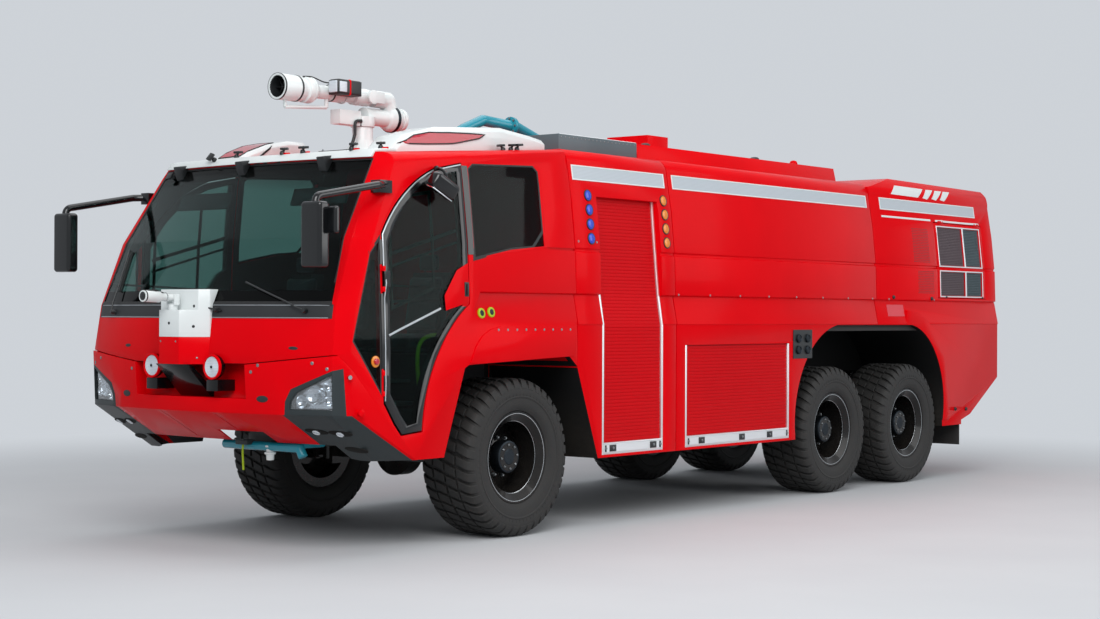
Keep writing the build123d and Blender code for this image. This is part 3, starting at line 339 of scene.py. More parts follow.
paint = {name: makeEnamel(name, look, enamelCommon) for name, look in enamels.items()}
paint.update({name: makeMoulding(name, look) for name, look in mouldings.items()})
paint.update({name: makeMetal(name, look) for name, look in metals.items()})
paint.update({name: makeLens(name, look) for name, look in lenses.items()})
paint.update({name: makeWindow(name, look) for name, look in windowTint.items()})
paint["tyreRubber"] = makeTyreRubber("tyreRubber", tyreRubber)
paint["seatCloth"] = makeSeatCloth("seatCloth", seatCloth)
print("materials made:", len(paint))

# Camera at the photograph's place, and a plain bright studio
cameraView = {"place": (11.688, -12.439, 1.896), "azimuth": 38.55, "pitch": 0.19, "roll": 0.24, "lens": 61.5,
              "sensor": 36, "reach": 300}
studio = {
    "keyPower": 1700, "keySize": 9, "keyPlace": (9, -13, 10),
    "fillPower": 700, "fillSize": 10, "fillPlace": (14, 6, 7),
    "topPower": 650, "topSize": 12, "topPlace": (0, 0, 12),
    "worldColour": "#DDE2E8", "worldStrength": 0.5, "seenStrength": 0.85, "floorColour": "#C9CBCD",
    "floorDeep": "#BFC1C4", "floorHalf": 130, "aimHeight": 1.2,
    "fadeStart": 5.5, "fadeEnd": 13,
}


def rectangle(a0, a1, b0, b1, grow=0.0):
    return [(a0 - grow, b0 - grow), (a1 + grow, b0 - grow), (a1 + grow, b1 + grow), (a0 - grow, b1 + grow)]


def makeCamera(view):
    turn, tilt, roll = (math.radians(view[key]) for key in ("azimuth", "pitch", "roll"))
    forward = Vector((-math.sin(turn) * math.cos(tilt), math.cos(turn) * math.cos(tilt), math.sin(tilt)))
    level = Vector((math.cos(turn), math.sin(turn), 0))
    upward = level.cross(forward)
    right = level * math.cos(roll) + upward * math.sin(roll)
    upward = upward * math.cos(roll) - level * math.sin(roll)
    data = bpy.data.cameras.new("camera")
    data.lens = view["lens"]
    data.sensor_width = view["sensor"]
    data.clip_end = view["reach"]
    camera = bpy.data.objects.new("camera", data)
    scene.collection.objects.link(camera)
    x, y, z = view["place"]
    camera.matrix_world = Matrix((right, upward, -forward)).transposed().to_4x4()
    camera.location = (x, y + axleY, z)
    scene.camera = camera


def seenRays(tree):
    # rays that see the background: from the camera, off gloss and through glass
    ray = addNode(tree, "ShaderNodeLightPath").outputs
    first = calculated(tree, "MAXIMUM", ray["Is Camera Ray"], ray["Is Transmission Ray"])
    return calculated(tree, "MAXIMUM", first, ray["Is Glossy Ray"])


def makeStudio(values):
    for name in ("key", "fill", "top"):
        lamp = bpy.data.lights.new(name, "AREA")
        lamp.energy = values[name + "Power"]
        lamp.size = values[name + "Size"]
        holder = bpy.data.objects.new(name, lamp)
        holder.location = values[name + "Place"]
        aim = Vector((0, 0, values["aimHeight"])) - holder.location
        holder.rotation_euler = aim.to_track_quat("-Z", "Y").to_euler()
        scene.collection.objects.link(holder)
    world = bpy.data.worlds.new("world")
    scene.world = world
    world.use_nodes = True
    background = world.node_tree.nodes["Background"]
    background.inputs["Color"].default_value = hexColour(values["worldColour"])
    tree = world.node_tree
    strength = ranged(tree, seenRays(tree), values["worldStrength"], values["seenStrength"])
    tree.links.new(strength, background.inputs["Strength"])
    half = values["floorHalf"]
    mesh = bpy.data.meshes.new("studioFloor")
    mesh.from_pydata([(x, y, 0) for x, y in rectangle(-half, half, -half, half)], [], [(0, 1, 2, 3)])
    floor = bpy.data.objects.new("studioFloor", mesh)
    scene.collection.objects.link(floor)
    material, tree, shader, place = startMaterial("screedFloor", {"Roughness": 0.75})
    plugged(tree, shader, mixed(tree, noise(tree, place, 1500, 6), values["floorDeep"], values["floorColour"]))
    away = addNode(tree, "ShaderNodeVectorMath", {"operation": "LENGTH"}, {0: place}).outputs["Value"]
    fade = ranged(tree, away, 0.0, 1.0, values["fadeStart"], values["fadeEnd"], "SMOOTHSTEP")
    light = {"Color": hexColour(values["worldColour"]), "Strength": values["seenStrength"]}
    glow = addNode(tree, "ShaderNodeEmission", light)
    blended(tree, calculated(tree, "MULTIPLY", fade, seenRays(tree)), shader, glow.outputs["Emission"])
    mesh.materials.append(material)
    floor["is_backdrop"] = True


makeCamera(cameraView)
makeStudio(studio)
scene.view_settings.view_transform = "Standard"
print("camera and studio set")


# Helpers: places, meshes and finished pieces
flatArea = 0.6  # square metres; a larger face is plane and keeps its own normal


def at(x, y, z):
    return Vector((x, y + axleY, z))


def slotFor(material):
    families = {
        "paint_red": ("redEnamel", "shutterEnamel", "reflectiveFilm"), "paint_white": ("whiteEnamel",),
        "paint_teal": ("tealEnamel",), "paint_anthracite": ("greyEnamel", "wellEnamel", "grilleWire"),
        "paint_black": ("archCoating", "blackEnamel"), "glass_tinted": ("glassWindscreen", "glassSide"),
        "tyre_rubber": ("tyreRubber",), "fabric_dark": ("seatCloth",),
        "aluminium_trim": ("anodisedAluminium", "polishedSteel", "zincScrew", "chromeReflector", "brightTrim"),
        "lamp_glass": ("bandLens", "clearLens", "frostLens", "blueLens", "amberLens", "redLens"),
    }
    return next((slot for slot, members in families.items() if material in members), "plastic_black")


def addPiece(name, mesh, looks, body="chassis", stands=(), smooth=35):
    # one finished piece: its looks, its body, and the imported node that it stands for
    obj = bpy.data.objects.new(name, mesh)
    scene.collection.objects.link(obj)
    marks = [0] * len(mesh.polygons)
    mesh.polygons.foreach_get("material_index", marks)
    mesh.materials.clear()
    for look in looks:
        mesh.materials.append(paint[look])
    mesh.polygons.foreach_set("material_index", [min(m, len(looks) - 1) for m in marks])
    if smooth:
        mesh.polygons.foreach_set("use_smooth", [p.area < flatArea for p in mesh.polygons])
        mesh.set_sharp_from_angle(angle=math.radians(smooth))
    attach(obj, body)
    slotFor(looks[0])
    if stands:
        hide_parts(*stands)
    return obj


def meshFrom(name, bm, outward=True):
    bmesh.ops.remove_doubles(bm, verts=bm.verts, dist=1e-6)
    if outward:
        bmesh.ops.recalc_face_normals(bm, faces=bm.faces)
    mesh = bpy.data.meshes.new(name)
    bm.to_mesh(mesh)
    bm.free()
    return mesh


def baked(obj):
    # the plain mesh that the object's modifiers give; the object itself goes
    bpy.context.view_layer.update()
    graph = bpy.context.evaluated_depsgraph_get()
    mesh = bpy.data.meshes.new_from_object(obj.evaluated_get(graph), preserve_all_data_layers=True, depsgraph=graph)
    bpy.data.objects.remove(obj)
    return mesh


def joined(name, meshes):
    bm = bmesh.new()
    for mesh in meshes:
        bm.from_mesh(mesh)
        bpy.data.meshes.remove(mesh)
    mesh = bpy.data.meshes.new(name)
    bm.to_mesh(mesh)
    bm.free()
    return mesh


def withBevel(mesh, width, angle=32, segments=2):
    obj = bpy.data.objects.new(mesh.name + "Round", mesh)
    scene.collection.objects.link(obj)
    bevel = obj.modifiers.new("round", "BEVEL")
    bevel.width = width
    bevel.segments = segments
    bevel.limit_method = "ANGLE"
    bevel.angle_limit = math.radians(angle)
    bevel.use_clamp_overlap = True
    return baked(obj)


def wall(bm, first, second):
    # the faces between two rings of the same count
    for i in range(len(first)):
        j = (i + 1) % len(first)
        bm.faces.new((first[i], first[j], second[j], second[i]))


def prism(points, low, high, axis="x"):
    # a closed outline thickened along one axis, its points in the plane of the other two
    bm = bmesh.new()
    near, far = ([bm.verts.new(at(c, a, b) if axis == "x" else at(a, b, c)) for a, b in points] for c in (low, high))
    bm.faces.new(near)
    bm.faces.new(far[::-1])
    wall(bm, near, far)
    return bm


def boxBetween(low, high):
    (x0, y0, z0), (x1, y1, z1) = low, high
    return prism(rectangle(x0, x1, y0, y1), z0, z1, "z")


def turned(profile, start, end, steps=32, closed=False):
    # a profile of (distance along, radius) turned round the line from start to end
    axis = (end - start).normalized()
    side = axis.orthogonal().normalized()
    other = axis.cross(side)
    bm = bmesh.new()
    rings = []
    for along, radius in profile:
        centre = start + axis * along
        if radius < 1e-5:
            rings.append([bm.verts.new(centre)])
            continue
        angles = [2 * math.pi * k / steps for k in range(steps)]
        rings.append([bm.verts.new(centre + (side * math.cos(a) + other * math.sin(a)) * radius) for a in angles])
    pairs = list(zip(rings, rings[1:]))
    if closed:
        pairs.append((rings[-1], rings[0]))
    for ringA, ringB in pairs:
        for k in range(steps):
            n = (k + 1) % steps
            corners = [ringA[k % len(ringA)], ringA[n % len(ringA)], ringB[n % len(ringB)], ringB[k % len(ringB)]]
            corners = list(dict.fromkeys(corners))
            if len(corners) > 2:
                bm.faces.new(corners)
    if not closed:
        for ring in (rings[0], rings[-1]):
            if len(ring) > 2:
                bm.faces.new(ring)
    return bm


def tube(points, radius, steps=12, smooth=True):
    # a round tube along a given route
    curve = bpy.data.curves.new("route", "CURVE")
    curve.dimensions = "3D"
    curve.bevel_depth = radius
    curve.bevel_resolution = max(1, steps // 4)
    curve.resolution_u = 8
    curve.use_fill_caps = True
    spline = curve.splines.new("NURBS" if smooth else "POLY")
    spline.points.add(len(points) - 1)
    for point, where in zip(spline.points, points):
        point.co = (*where, 1)
    if smooth:
        spline.order_u = 3
        spline.use_endpoint_u = True
    obj = bpy.data.objects.new("route", curve)
    scene.collection.objects.link(obj)
    return baked(obj)


def meshOf(bm, name="part"):
    return meshFrom(name, bm)


def lathe(profile, start, way, steps=32, closed=False):
    return meshOf(turned(profile, start, start + way, steps, closed))


def meshFromBox(low, high):
    bm = bmesh.new()
    bmesh.ops.create_cube(bm, size=1.0)
    for vert in bm.verts:
        vert.co = Vector([low[i] + (high[i] - low[i]) * (vert.co[i] + 0.5) for i in range(3)])
    return meshFrom("box", bm)


def roundedBox(low, high, width, segments=3):
    return withBevel(meshOf(boxBetween(low, high)), width, 30, segments)


def mirrored(mesh):
    twin = mesh.copy()
    twin.transform(Matrix.Scale(-1, 4, (1, 0, 0)))
    twin.flip_normals()
    return twin


def bothSides(mesh):
    return joined(mesh.name, [mirrored(mesh), mesh])


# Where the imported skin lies, for pieces that sit on it
def skinTree(names):
    verts, faces = [], []
    for name in names:
        mesh = nodes[name].data
        start = len(verts)
        verts += [v.co.copy() for v in mesh.vertices]
        faces += [[start + i for i in p.vertices] for p in mesh.polygons]
    return BVHTree.FromPolygons(verts, faces)


cabNames = ["cab_shell", "bumper", "bumper_corners", "door_left", "door_right", "cowl", "windscreen", "side_windows",
            "door_glass_left", "door_glass_right"]
bodyNames = ["pump_module", "tank_module", "engine_module", "engine_flap_left", "engine_flap_right", "roller_shutters",
             "shutter_rails"]
roofNames = ["tank_top", "tank_lid", "roof_well", "fairings"]
rearNames = ["rear_hatch"]
skin = skinTree(cabNames + bodyNames + roofNames + rearNames)
doorSkin = skinTree(["door_left", "door_right", "door_glass_left", "door_glass_right"])


def hit(origin, direction, tree=skin):
    where, normal, _, _ = tree.ray_cast(origin, direction)
    if where is None:
        return None
    if normal.dot(direction) > 0:
        normal = -normal
    return where, normal


def onSide(y, z, side=1, tree=skin):
    return hit(at(side * 2.4, y, z), Vector((-side, 0, 0)), tree)


def onFront(x, z, tree=skin):
    return hit(at(x, -4.5, z), Vector((0, 1, 0)), tree)


def onTop(x, y, tree=skin):
    return hit(at(x, y, 5), Vector((0, 0, -1)), tree)


def onBack(x, z, tree=skin):
    return hit(at(x, 11, z), Vector((0, -1, 0)), tree)


def ribbon(places, width, height, closed=False, sink=0.001):
    # a strip with planed edges laid along places on the skin, each a point and its normal
    bm = bmesh.new()
    points = [p for p, n in places]
    count = len(points)
    rows = []
    for i, (point, normal) in enumerate(places):
        before = points[i - 1] if closed or i else point
        after = points[(i + 1) % count] if closed or i < count - 1 else point
        inward = (point - before).normalized() if (point - before).length > 1e-7 else (after - point).normalized()
        onward = (after - point).normalized() if (after - point).length > 1e-7 else inward
        along = (inward + onward).normalized()
        across = normal.cross(along).normalized()
        spread = 1 / max(0.5, math.sqrt(max(0.01, (1 + inward.dot(onward)) / 2)))
        half = width / 2 * spread
        edge = min(height * 0.5, width * 0.2)
        section = [(-half, -sink), (-half, height - edge), (-half + edge, height), (half - edge, height),
                   (half, height - edge), (half, -sink)]
        rows.append([bm.verts.new(point + across * a + normal * b) for a, b in section])
    pairs = list(zip(rows, rows[1:]))
    if closed:
        pairs.append((rows[-1], rows[0]))
    for first, second in pairs:
        wall(bm, first, second)
    if not closed:
        bm.faces.new(rows[0])
        bm.faces.new(rows[-1][::-1])
    return bm


def sideRun(corners, side=1, step=0.12, tree=skin, closed=False):
    # places on the side skin along straight runs between (y, z) corners
    places = []
    ends = corners[1:] + corners[:1] if closed else corners[1:]
    for (y0, z0), (y1, z1) in zip(corners, ends):
        pieces = max(1, int(math.hypot(y1 - y0, z1 - z0) / step))
        for k in range(pieces):
            t = k / pieces
            places.append(onSide(y0 + (y1 - y0) * t, z0 + (z1 - z0) * t, side, tree))
    if not closed:
        places.append(onSide(*corners[-1], side, tree))
    return [p for p in places if p]


def frontRun(corners, step=0.1, tree=skin, closed=False):
    places = []
    ends = corners[1:] + corners[:1] if closed else corners[1:]
    for (x0, z0), (x1, z1) in zip(corners, ends):
        pieces = max(1, int(math.hypot(x1 - x0, z1 - z0) / step))
        for k in range(pieces):
            t = k / pieces
            places.append(onFront(x0 + (x1 - x0) * t, z0 + (z1 - z0) * t, tree))
    if not closed:
        places.append(onFront(*corners[-1], tree))
    return [p for p in places if p]


def patch(outline, project, lift=0.003, thick=0.004, cuts=2):
    # a thin plate over an outline, laid on the skin that project finds
    bm = bmesh.new()
    bm.faces.new([bm.verts.new((a, b, 0)) for a, b in outline])
    bmesh.ops.triangulate(bm, faces=bm.faces)
    for _ in range(cuts):
        bmesh.ops.subdivide_edges(bm, edges=bm.edges, cuts=1, use_grid_fill=True)
    found = {vert: project(vert.co.x, vert.co.y) for vert in bm.verts}
    bmesh.ops.delete(bm, geom=[v for v in bm.verts if not found[v]], context="VERTS")
    tops = list(bm.verts)
    sheet = list(bm.faces)
    rim = [e for e in bm.edges if e.is_boundary]
    under = {}
    for vert in tops:
        where, normal = found[vert]
        vert.co = where + normal * lift
        under[vert] = bm.verts.new(where + normal * (lift - thick))
    for face in sheet:
        bm.faces.new([under[v] for v in reversed(face.verts)])
    for edge in rim:
        a, b = edge.verts
        bm.faces.new((a, b, under[b], under[a]))
    return bm


# Geometry Nodes: one tree lays a piece along a path, one sets it on points, one in a ring, one on a grid
fullTurn = 6.28  # radians, the spread of a random turn


def startTree(name, sockets):
    tree = bpy.data.node_groups.new(name, "GeometryNodeTree")
    tree.interface.new_socket("Geometry", in_out="INPUT", socket_type="NodeSocketGeometry")
    for label, kind, value in sockets:
        socket = tree.interface.new_socket(label, in_out="INPUT", socket_type="NodeSocket" + kind)
        if value is not None:
            socket.default_value = value
    tree.interface.new_socket("Geometry", in_out="OUTPUT", socket_type="NodeSocketGeometry")
    return tree, addNode(tree, "NodeGroupInput").outputs


def endTree(tree, geometry, inputs):
    real = addNode(tree, "GeometryNodeRealizeInstances", {}, {"Geometry": geometry})
    dressed = addNode(tree, "GeometryNodeSetMaterial", {},
                      {"Geometry": real.outputs["Geometry"], "Material": inputs["Look"]})
    addNode(tree, "NodeGroupOutput", {}, {"Geometry": dressed.outputs["Geometry"]})
    return tree


def makePathTree():
    tree, inputs = startTree("pieceAlongPath", [
        ("Piece", "Object", None), ("Pitch", "Float", 0.1), ("Facing", "Vector", (1, 0, 0)), ("Look", "Material", None),
    ])
    path = addNode(tree, "GeometryNodeMeshToCurve", {}, {"Mesh": inputs["Geometry"]})
    even = addNode(tree, "GeometryNodeResampleCurve", {"mode": "LENGTH"},
                   {"Curve": path.outputs["Curve"], "Length": inputs["Pitch"]})
    tangent = addNode(tree, "GeometryNodeInputTangent")
    alongPath = addNode(tree, "FunctionNodeAlignRotationToVector", {"axis": "Z"},
                        {"Vector": tangent.outputs["Tangent"]})
    facing = addNode(tree, "FunctionNodeAlignRotationToVector", {"axis": "X", "pivot_axis": "Z"},
                     {"Rotation": alongPath.outputs["Rotation"], "Vector": inputs["Facing"]})
    info = addNode(tree, "GeometryNodeObjectInfo", {}, {"Object": inputs["Piece"]})
    laid = addNode(tree, "GeometryNodeInstanceOnPoints", {}, {
        "Points": even.outputs["Curve"], "Instance": info.outputs["Geometry"], "Rotation": facing.outputs["Rotation"],
    })
    return endTree(tree, laid.outputs["Instances"], inputs)


def makePointTree():
    tree, inputs = startTree("pieceOnPoints", [
        ("Piece", "Object", None), ("Turn Spread", "Float", fullTurn), ("Seed", "Int", 7), ("Look", "Material", None),
    ])
    aim = addNode(tree, "GeometryNodeInputNamedAttribute", {"data_type": "FLOAT_VECTOR", "Name": "aim"})
    upright = addNode(tree, "FunctionNodeAlignRotationToVector", {"axis": "Z"}, {"Vector": aim.outputs["Attribute"]})
    spin = addNode(tree, "FunctionNodeRandomValue", {"data_type": "FLOAT"},
                   {"Max": inputs["Turn Spread"], "Seed": inputs["Seed"]})
    turn = addNode(tree, "ShaderNodeCombineXYZ", {}, {"Z": spin.outputs[1]})
    spun = addNode(tree, "FunctionNodeRotateRotation", {"rotation_space": "LOCAL"},
                   {"Rotation": upright.outputs["Rotation"], "Rotate By": turn.outputs["Vector"]})
    info = addNode(tree, "GeometryNodeObjectInfo", {}, {"Object": inputs["Piece"]})
    laid = addNode(tree, "GeometryNodeInstanceOnPoints", {}, {
        "Points": inputs["Geometry"], "Instance": info.outputs["Geometry"], "Rotation": spun.outputs["Rotation"],
    })
    return endTree(tree, laid.outputs["Instances"], inputs)


def makeRingTree():
    tree, inputs = startTree("pieceInRing", [
        ("Piece", "Object", None), ("Count", "Int", 10), ("Radius", "Float", 0.2), ("Start Angle", "Float", 0.0),
        ("Look", "Material", None),
    ])
    ring = addNode(tree, "GeometryNodeMeshCircle", {}, {"Vertices": inputs["Count"], "Radius": inputs["Radius"]})
    place = addNode(tree, "GeometryNodeInputPosition")
    outward = addNode(tree, "FunctionNodeAlignRotationToVector", {"axis": "X", "pivot_axis": "Z"},
                      {"Vector": place.outputs["Position"]})
    info = addNode(tree, "GeometryNodeObjectInfo", {}, {"Object": inputs["Piece"]})
    laid = addNode(tree, "GeometryNodeInstanceOnPoints", {}, {
        "Points": ring.outputs["Mesh"], "Instance": info.outputs["Geometry"], "Rotation": outward.outputs["Rotation"],
    })
    angle = addNode(tree, "ShaderNodeCombineXYZ", {}, {"Z": inputs["Start Angle"]})
    turned = addNode(tree, "GeometryNodeTransform", {},
                     {"Geometry": laid.outputs["Instances"], "Rotation": angle.outputs["Vector"]})
    return endTree(tree, turned.outputs["Geometry"], inputs)


def makeGridTree():
    tree, inputs = startTree("pieceOnGrid", [
        ("Piece", "Object", None), ("Width", "Float", 1.0), ("Height", "Float", 1.0), ("Columns", "Int", 5),
        ("Rows", "Int", 5),
        ("Look", "Material", None),
    ])
    grid = addNode(tree, "GeometryNodeMeshGrid", {}, {
        "Size X": inputs["Width"], "Size Y": inputs["Height"], "Vertices X": inputs["Columns"],
        "Vertices Y": inputs["Rows"],
    })
    info = addNode(tree, "GeometryNodeObjectInfo", {}, {"Object": inputs["Piece"]})
    laid = addNode(tree, "GeometryNodeInstanceOnPoints", {},
                   {"Points": grid.outputs["Mesh"], "Instance": info.outputs["Geometry"]})
    return endTree(tree, laid.outputs["Instances"], inputs)


trees = {"path": makePathTree(), "points": makePointTree(), "ring": makeRingTree(), "grid": makeGridTree()}


def grown(treeName, carrier, piece, look, values):
    # runs one tree on a carrier mesh and gives the plain mesh; the piece is a small mesh
    holder = bpy.data.objects.new("holder", carrier or bpy.data.meshes.new("empty"))
    small = bpy.data.objects.new("small", piece)
    scene.collection.objects.link(holder)
    scene.collection.objects.link(small)
    modifier = holder.modifiers.new("repeat", "NODES")
    modifier.node_group = trees[treeName]
    settings = dict(values, Piece=small, Look=paint[look])
    for item in trees[treeName].interface.items_tree:
        if item.in_out == "INPUT" and item.name in settings:
            modifier[item.identifier] = settings[item.name]
    mesh = baked(holder)
    bpy.data.objects.remove(small)
    return mesh


def pointsMesh(places):
    mesh = bpy.data.meshes.new("spots")
    mesh.from_pydata([p for p, n in places], [], [])
    aim = mesh.attributes.new("aim", "FLOAT_VECTOR", "POINT")
    aim.data.foreach_set("vector", [c for p, n in places for c in n])
    return mesh


def pathMesh(points):
    mesh = bpy.data.meshes.new("path")
    mesh.from_pydata(points, [(i, i + 1) for i in range(len(points) - 1)], [])
    return mesh


# Small pieces that repeat
fixings = {
    "screwRadius": 0.011, "screwHeight": 0.004, "rivetRadius": 0.007, "rivetHeight": 0.003,
    "nutAcross": 0.036, "nutHeight": 0.026, "boltRadius": 0.012,
}


def roundHead(radius, height, steps=10):
    start = Vector((0, 0, -0.002))
    shares = [(0.4, 1), (0.85, 0.75), (1, 0.35), (0.6, 0.25), (0.6, 0)]
    profile = [(0, radius)] + [(0.002 + height * h, radius * r) for h, r in shares]
    return lathe(profile, start, Vector((0, 0, 1)), steps)


def hexNut(across, height, stud):
    start = Vector((0, 0, -0.002))
    profile = [(0, across * 0.5), (height * 0.8, across * 0.5), (height, across * 0.42), (height, stud),
               (height * 1.5, stud), (height * 1.6, stud * 0.7), (height * 1.6, 0)]
    return lathe(profile, start, Vector((0, 0, 1)), 6)


def screwMesh():
    return roundHead(fixings["screwRadius"], fixings["screwHeight"])


def rivetMesh():
    return roundHead(fixings["rivetRadius"], fixings["rivetHeight"], 8)


def scattered(places, piece, look, spread=fullTurn, seed=7):
    # one small piece on every place that was found, turned about its normal
    return grown("points", pointsMesh([p for p in places if p]), piece, look, {"Turn Spread": spread, "Seed": seed})


def setPieces(name, places, piece, look):
    return addPiece(name, scattered(places, piece, look), [look])


def addBoth(name, mesh, look):
    # the same piece on the left and on the right, as one
    return addPiece(name, bothSides(mesh), [look])


print("helpers and trees ready")


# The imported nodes, cleaned of loose edges, with soft edges and more than one finish where the real piece has it
def mergedNode(name):
    bm = bmesh.new()
    bm.from_mesh(nodes[name].data)
    bmesh.ops.remove_doubles(bm, verts=bm.verts, dist=2e-5)
    bmesh.ops.dissolve_limit(bm, angle_limit=math.radians(0.6), verts=bm.verts, edges=bm.edges)
    return bm


def dressNode(name, looks, pick, edge):
    bm = mergedNode(name)
    if pick:
        for face in bm.faces:
            centre = face.calc_center_median()
            centre.y -= axleY
            face.material_index = pick(centre, face.normal)
    mesh = bpy.data.meshes.new(name + "Dressed")
    bm.to_mesh(mesh)
    bm.free()
    for look in looks:
        mesh.materials.append(paint[look])
    if edge:
        mesh = withBevel(mesh, edge)
    mesh.name = name + "Dressed"
    return addPiece(mesh.name, mesh, looks, bodyOf[name], (name,))


def plainNode(name, look):
    # a node whose own mesh is right keeps it, with a finish
    obj = nodes[name]
    obj.data.materials.clear()
    obj.data.materials.append(paint[look])


def inwardFace(c, n):
    # 1 for faces that look into the cab, 0 for its outside
    if abs(c.x) > 1.0 and n.x * c.x < -0.01 * abs(c.x):
        return 1
    if c.y < -1.0 and n.y > 0.25:
        return 1
    if n.z < -0.5 and c.z > 2.9:
        return 1
    return 0


def pickShell(c, n):
    if inwardFace(c, n):
        return 1
    # the cab's faces low round the front wheel arches get the same black
    if c.z < 1.6 and -1.0 < c.y < 0.8 and abs(c.x) < 1.47 and (n.z < -0.3 or abs(n.y) > 0.5 or abs(c.x) < 1.40):
        return 2
    return 0


def pickDoor(c, n):
    if n.x * c.x < -0.2 * abs(c.x):
        return 2
    if abs(c.x) > 1.3 and -1.03 < c.y < -0.6 and 1.93 < c.z < 2.36 and n.x * c.x > 0.3 * abs(c.x):
        return 1
    return 0


def pickSwivel(c, _):
    return 1 if 0.058 < c.x < 0.09 and c.y < -0.53 and c.z < 3.62 else 0


def pickBarrel(c, _):
    return 1 if c.x > 0.085 and -0.95 < c.y < -0.65 else 0


def pickArch(c, n):
    # black on faces inside the wheel arches, and on faces low on the body turned down, fore, aft or inward
    inside = c.z < 1.85 and abs(c.x) < 1.47 and c.y < 8.9
    if inside and (n.z < -0.3 or abs(n.y) > 0.5 or n.x * c.x < -0.1 or abs(c.x) < 1.3):
        return 1
    return 0


dressing = {
    "cab_shell": {"looks": ["redEnamel", "trimDark", "archCoating"], "pick": pickShell, "edge": 0.004},
    "bumper": {"looks": ["redEnamel"], "edge": 0.004},
    "bumper_corners": {"looks": ["greyEnamel"], "edge": 0.005},
    "door_left": {"looks": ["absGloss", "redEnamel", "trimDark"], "pick": pickDoor, "edge": 0.003},
    "door_right": {"looks": ["absGloss", "redEnamel", "trimDark"], "pick": pickDoor, "edge": 0.003},
    "cowl": {"looks": ["trimDark"], "edge": 0.003},
    "pump_module": {"looks": ["redEnamel", "archCoating"], "pick": pickArch, "edge": 0.004},
    "tank_module": {"looks": ["redEnamel", "archCoating"], "pick": pickArch, "edge": 0.004},
    "engine_module": {"looks": ["redEnamel", "archCoating"], "pick": pickArch, "edge": 0.004},
    "engine_flap_left": {"looks": ["redEnamel"], "edge": 0.004},
    "engine_flap_right": {"looks": ["redEnamel"], "edge": 0.004},
    "rear_hatch": {"looks": ["redEnamel"], "edge": 0.004},
    "tank_top": {"looks": ["redEnamel"], "edge": 0.012},
    "tank_lid": {"looks": ["redEnamel"], "edge": 0.01},
    "roof_well": {"looks": ["wellEnamel"], "edge": 0.003},
    "fairings": {"looks": ["whiteEnamel"], "edge": 0.012},
    "pipes": {"looks": ["tealEnamel"], "edge": 0.002},
    "mirrors": {"looks": ["absGloss"], "edge": 0.004},
    "turret_bracket": {"looks": ["redEnamel"], "edge": 0.004},
    "turret_housing": {"looks": ["whiteEnamel"], "edge": 0.016},
    "turret_struts": {"looks": ["blackEnamel"], "edge": 0.003},
    "roof_turret_base": {"looks": ["whiteEnamel"], "edge": 0.004},
    "roof_turret_swivel": {"looks": ["whiteEnamel", "hoseRubber"], "pick": pickSwivel, "edge": 0.004},
    "roof_turret_barrel": {"looks": ["whiteEnamel", "absBlack"], "pick": pickBarrel, "edge": 0.003},
    "bumper_turret_head": {"looks": ["whiteEnamel"], "edge": 0.002},
    "bumper_turret_barrel": {"looks": ["whiteEnamel"], "edge": 0.003},
    "shutter_rails": {"looks": ["brightTrim"], "edge": 0.002},
    "dashboard": {"looks": ["trimDark"], "edge": 0.01},
    "arch_liners": {"looks": ["flapRubber"], "edge": 0.003},
    "rear_ladder": {"looks": ["anodisedAluminium"], "edge": 0.001},
    "springs": {"looks": ["blackEnamel"], "edge": 0},
    "frame_rails": {"looks": ["blackEnamel"], "edge": 0.003},
}
plainLooks = {
    "windscreen": "glassWindscreen", "side_windows": "glassSide", "door_glass_left": "glassSide",
    "door_glass_right": "glassSide",
    "cab_floor": "trimDark", "engine": "gunMetal", "front_axle": "blackEnamel", "rear_axles": "blackEnamel",
    "propshafts": "blackEnamel", "knuckle_left": "blackEnamel", "knuckle_right": "blackEnamel",
    "roller_shutters": "shutterEnamel",
}
for name, values in dressing.items():
    dressNode(name, values["looks"], values.get("pick"), values["edge"])
for name, look in plainLooks.items():
    plainNode(name, look)
for name in nodes:
    if name.startswith("rim_"):
        plainNode(name, "blackEnamel")
    if name.startswith("tyre_"):
        plainNode(name, "tyreRubber")
print("packed nodes dressed:", len(dressing) + len(plainLooks))

# Wheels: a lugged off-road tyre, wheel nuts, a hub cover, and two thin polished rings on each black rim that are
# painted highlights
tyreShape = {
    "wall": [(0.215, 0.395), (0.240, 0.402), (0.258, 0.425), (0.268, 0.462), (0.270, 0.508), (0.2745, 0.513),
             (0.277, 0.523), (0.2735, 0.531), (0.2775, 0.560), (0.276, 0.598), (0.266, 0.622), (0.246, 0.640),
             (0.200, 0.653)],
    "crown": 0.656, "steps": 96, "lugCount": 40, "lugHalf": 0.0355, "lugSlant": 0.42,
    "shoulder": [(-0.012, 0.132), (0.0235, 0.136), (0.0225, 0.210), (0.008, 0.250), (-0.020, 0.268), (-0.048, 0.2785),
                 (-0.066, 0.2785), (-0.066, 0.262), (-0.034, 0.235)],
    "centre": [(-0.012, 0.010), (0.0235, 0.012), (0.0235, 0.116), (-0.012, 0.120)],
    "ribCount": 72, "ribRadius": 0.545,
}
wheelShape = {
    "nutCount": 10, "nutRadius": 0.168, "nutAlong": 0.024, "coverRadius": 0.137, "coverBack": 0.060,
    "coverFace": 0.1515,
    "coverBolts": 8, "coverBoltRadius": 0.104, "ringAlong": 0.2335,
}


def lugMesh(section, half, slant, side, radius):
    middle = sum(z for x, z in section) / len(section)
    bm = bmesh.new()
    ends = []
    for y in (-half, half):
        ring = []
        for x, z in section:
            along = (y + slant * (z - middle)) * (1 - 0.9 * max(0, -x))
            ring.append(bm.verts.new((math.sqrt((radius + x) ** 2 - along ** 2) - radius, along, z * side)))
        ends.append(ring)
    bm.faces.new(ends[0])
    bm.faces.new(ends[1][::-1])
    wall(bm, *ends)
    return withBevel(meshFrom("lug", bm), 0.003, 30, 1)


